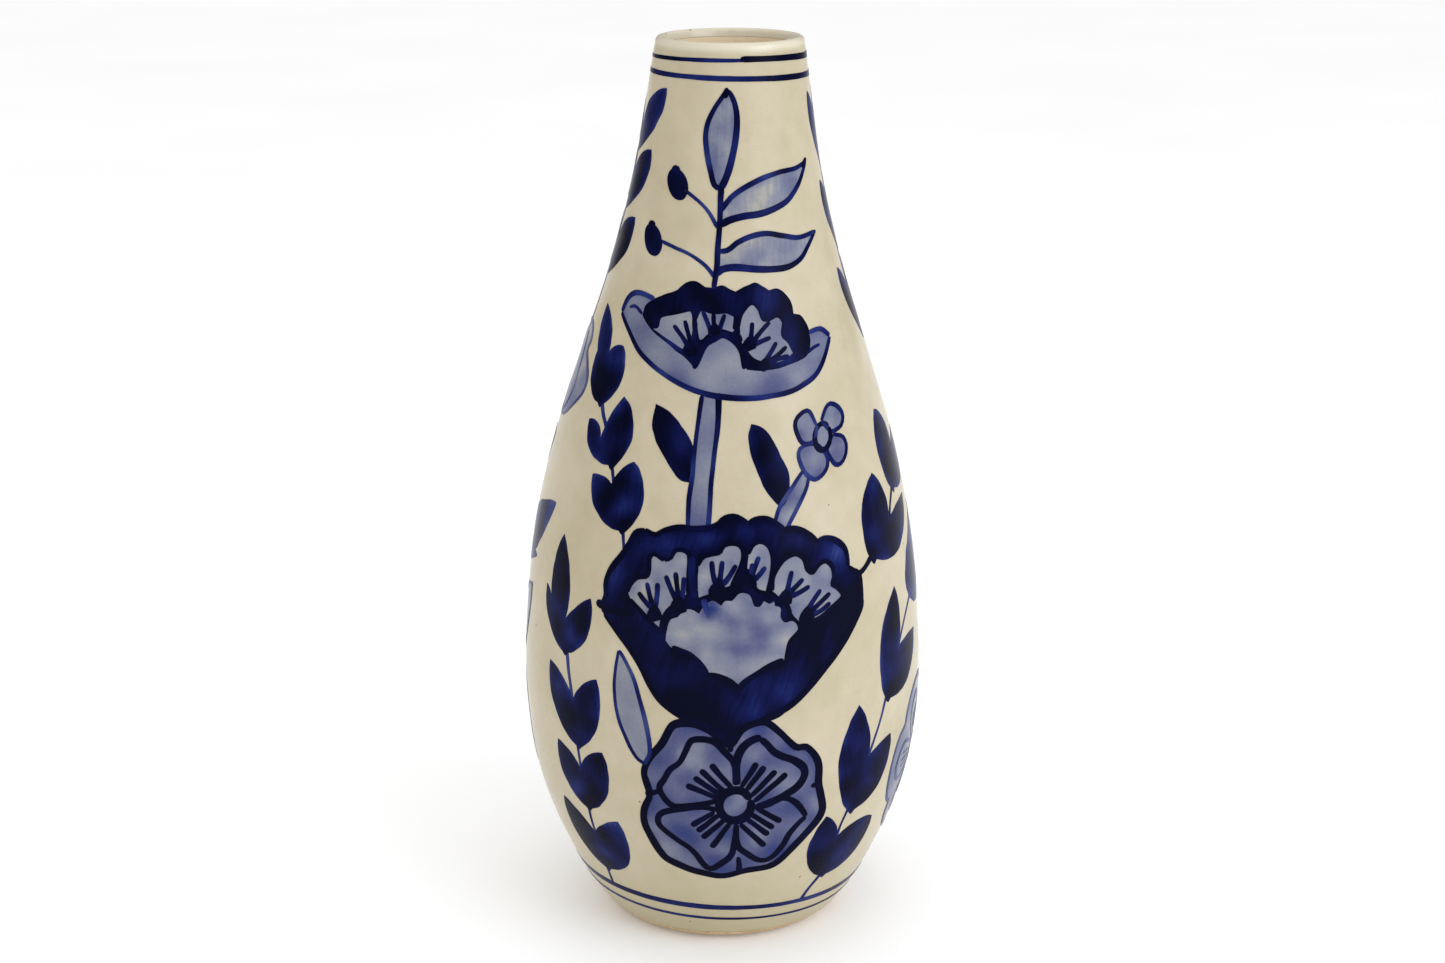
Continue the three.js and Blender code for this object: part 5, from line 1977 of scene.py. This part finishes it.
    def _neck(self, node: str, meridian: float, leaves: tuple[Leaf, ...]) -> None:
        """Paints the climbing sprig of the neck: one stem with leaves to both sides.

        Args:
            node: CAD node that the piece stands for.
            meridian: Angle of its stem.
            leaves: Leaves that show beside it, each echoed lower down on its other side.
        """
        canvas = self._canvas(node, 0.0)
        canvas.stroke(
            ((0.6, 206), (-0.6, 228), (0.8, 252), (0, 274)), (1.2, 1, 1.2), lift=0.1, load=Load(body=0.56),
        )
        load = Load(body=0.9, rim=-0.2, rim_mm=1.2, cloud=0.2)
        for leaf in leaves:
            canvas.leaf(leaf.base, leaf.tip, leaf.left, leaf.right, load=load, peak=1.2)
            canvas.leaf(
                (-leaf.base[0], leaf.base[1] + 4), (-0.8 * leaf.tip[0], leaf.tip[1] + 2), 0.8 * leaf.right,
                0.8 * leaf.left, load=load,
            )
        canvas.hang(node, Finish.DARK, meridian)


@dataclass(frozen=True)
class Band:
    """One line drawn in a turn of the wheel.

    Attributes:
        node: CAD node that it stands for.
        height: Height at the sides.
        width: Width of the brush.
        tilt: Rise to the left.
        arch: Rise at the front.
        load: Colour that it leaves.
    """

    node: str
    height: float
    width: float
    tilt: float
    arch: float
    load: float

    def half(self, share: float) -> float:
        """Half the line's width at a share of its turn; the lower lip line grows to the right."""
        if self.node == "rim_line_lower":
            sway = 0.12 * math.sin((share - 0.5) * math.tau) + 0.05 * math.sin(share * 43)
        else:
            sway = 0.1 * math.sin(share * 19) + 0.05 * math.sin(share * 43)
        return self.width / 2 * (1 + sway)


@dataclass
class Bands:
    """Double lines round the lip and the foot, with a second darker pass on the upper lip line.

    Attributes:
        form: Body that is painted.
        palette: Finishes.
        lines: The four bands.
        second_pass: Where the second pass starts and ends, across from the front.
        second_rise: How much higher it runs.
    """

    form: VaseForm
    palette: Palette
    lines: ClassVar[tuple[Band, ...]] = (
        Band("rim_line_upper", 298.9, 1.2, 0.05, 0.75, 0.8),
        Band("rim_line_lower", 293.8, 1.7, 0.55, 0.2, 0.82),
        Band("foot_line_upper", 18.0, 2.1, 2.3, 0.0, 0.68),
        Band("foot_line_lower", 12.2, 1.1, 2.1, 0.0, 0.7),
    )
    second_pass: ClassVar[Point] = (2.5, 44.0)
    second_rise: ClassVar[float] = 0.32

    def build(self) -> None:
        """Paints the four bands."""
        for seed, band in enumerate(self.lines):
            canvas = Canvas(self.form, self.palette, 900 + seed)
            radius = float(self.form.radius(band.height))
            path = [
                Vector((radius * a, band.height - band.tilt * math.sin(a) + band.arch * math.cos(a), 0.0))
                for a in np.linspace(-math.pi, math.pi, 97)
            ]
            load = Load(body=band.load, cloud=0.2, cloud_mm=24)
            canvas.ribbon(path, band.half, band.half, LEAF_LIFT, load, columns=2, rounded=False)
            if band.node == "rim_line_upper":
                low, high = self.second_pass
                again = [point + Vector((0, self.second_rise, 0)) for point in path if low < point.x < high]
                load = Load(body=1.0, cloud=0.04)
                canvas.ribbon(again, lambda share: 1.0, lambda share: 0.95, STROKE_LIFT, load, columns=3)
            canvas.hang(band.node, Finish.LINE, 0.0)


# ---- Studio ------------------------------------------------------------------------------------


@dataclass
class Studio:
    """White paper floor, soft daylight from the front right and the camera.

    Attributes:
        stand: Camera place in metres.
        pitch: Camera's turn from straight down, in degrees.
        lens: Focal length on a 36 mm wide sensor.
        daylight: How bright the surroundings stand.
        gloss_dim: Their share of that in reflections, as flags keep them off real gloss.
    """

    stand: tuple[float, float, float] = (0.0, -0.7956, 0.3895)
    pitch: float = 73.468
    lens: float = 60.2
    daylight: float = 0.97
    gloss_dim: float = 0.25

    def build(self) -> None:
        """Builds camera, floor, lights and world."""
        self._camera()
        self._floor()
        self._lamp("key_soft_box", (0.95, -0.75, 0.6), 0.9, 7.1, "eaf1ff")
        self._lamp("top_soft_box", (0.0, 0.1, 1.3), 0.8, 1.2, "ffffff")
        self._sky()

    def _camera(self) -> None:
        """Places the camera in front of the vase, a little above its middle."""
        data = bpy.data.cameras.new("camera")
        data.lens = self.lens
        data.sensor_width = 36.0
        camera = bpy.data.objects.new("camera", data)
        camera.location = self.stand
        camera.rotation_euler = (math.radians(self.pitch), 0, 0)
        bpy.context.scene.collection.objects.link(camera)
        bpy.context.scene.camera = camera

    def _floor(self) -> None:
        """Lays the paper that the vase stands on."""
        bm = bmesh.new()
        bmesh.ops.create_grid(bm, x_segments=2, y_segments=2, size=6.0)
        mesh = bpy.data.meshes.new("floor")
        bm.to_mesh(mesh)
        bm.free()
        mesh.materials.append(PaperSweep().build())
        floor = bpy.data.objects.new("floor", mesh)
        bpy.context.scene.collection.objects.link(floor)

    def _lamp(
        self, name: str, place: tuple[float, float, float], size: float, watts: float, colour: str,
    ) -> None:
        """Hangs a square soft box that looks at the middle of the vase.

        Args:
            name: Name of the lamp.
            place: Where it hangs, in metres.
            size: Side of the box, in metres.
            watts: Power.
            colour: Six hexadecimal digits.
        """
        data = bpy.data.lights.new(name, "AREA")
        data.energy = watts
        data.size = size
        data.color = linear(colour)[:3]
        lamp = bpy.data.objects.new(name, data)
        lamp.location = place
        lamp.rotation_euler = (Vector((0, 0, 0.15)) - Vector(place)).to_track_quat("-Z", "Y").to_euler()
        bpy.context.scene.collection.objects.link(lamp)

    def _sky(self) -> None:
        """Surrounds the set with even white light."""
        scene = bpy.context.scene
        world = bpy.data.worlds.new("studio")
        world.use_nodes = True
        background = world.node_tree.nodes["Background"]
        background.inputs["Color"].default_value = (1, 1, 1, 1)
        glossy = add_node(world.node_tree, "ShaderNodeLightPath").outputs["Is Glossy Ray"]
        dim = math_node(world.node_tree, "MULTIPLY_ADD", glossy, self.gloss_dim - 1, self.daylight)
        world.node_tree.links.new(dim, background.inputs["Strength"])
        scene.world = world
        scene.view_settings.view_transform = "Standard"


def main() -> None:
    """Builds the vase, its painting and the studio."""
    logging.basicConfig(level=logging.INFO, format="%(name)s %(message)s")
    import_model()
    form = VaseForm()
    palette = Palette()
    Studio().build()
    ThrownBody(form, palette).build()
    Bands(form, palette).build()
    for prefix, meridian, seed in (("front", 0.0, 1), ("back", 180.0, 2)):
        painter = Painter(form, palette, prefix, meridian, seed)
        for motif in (Rosette, Poppy, BowlPoppy, BudSpray, Blossom, Stems):
            motif(painter).build()
        for sprig in SPRIGS:
            sprig.build(painter)
    SidePanels(form, palette).build()


if __name__ == "__main__":
    main()
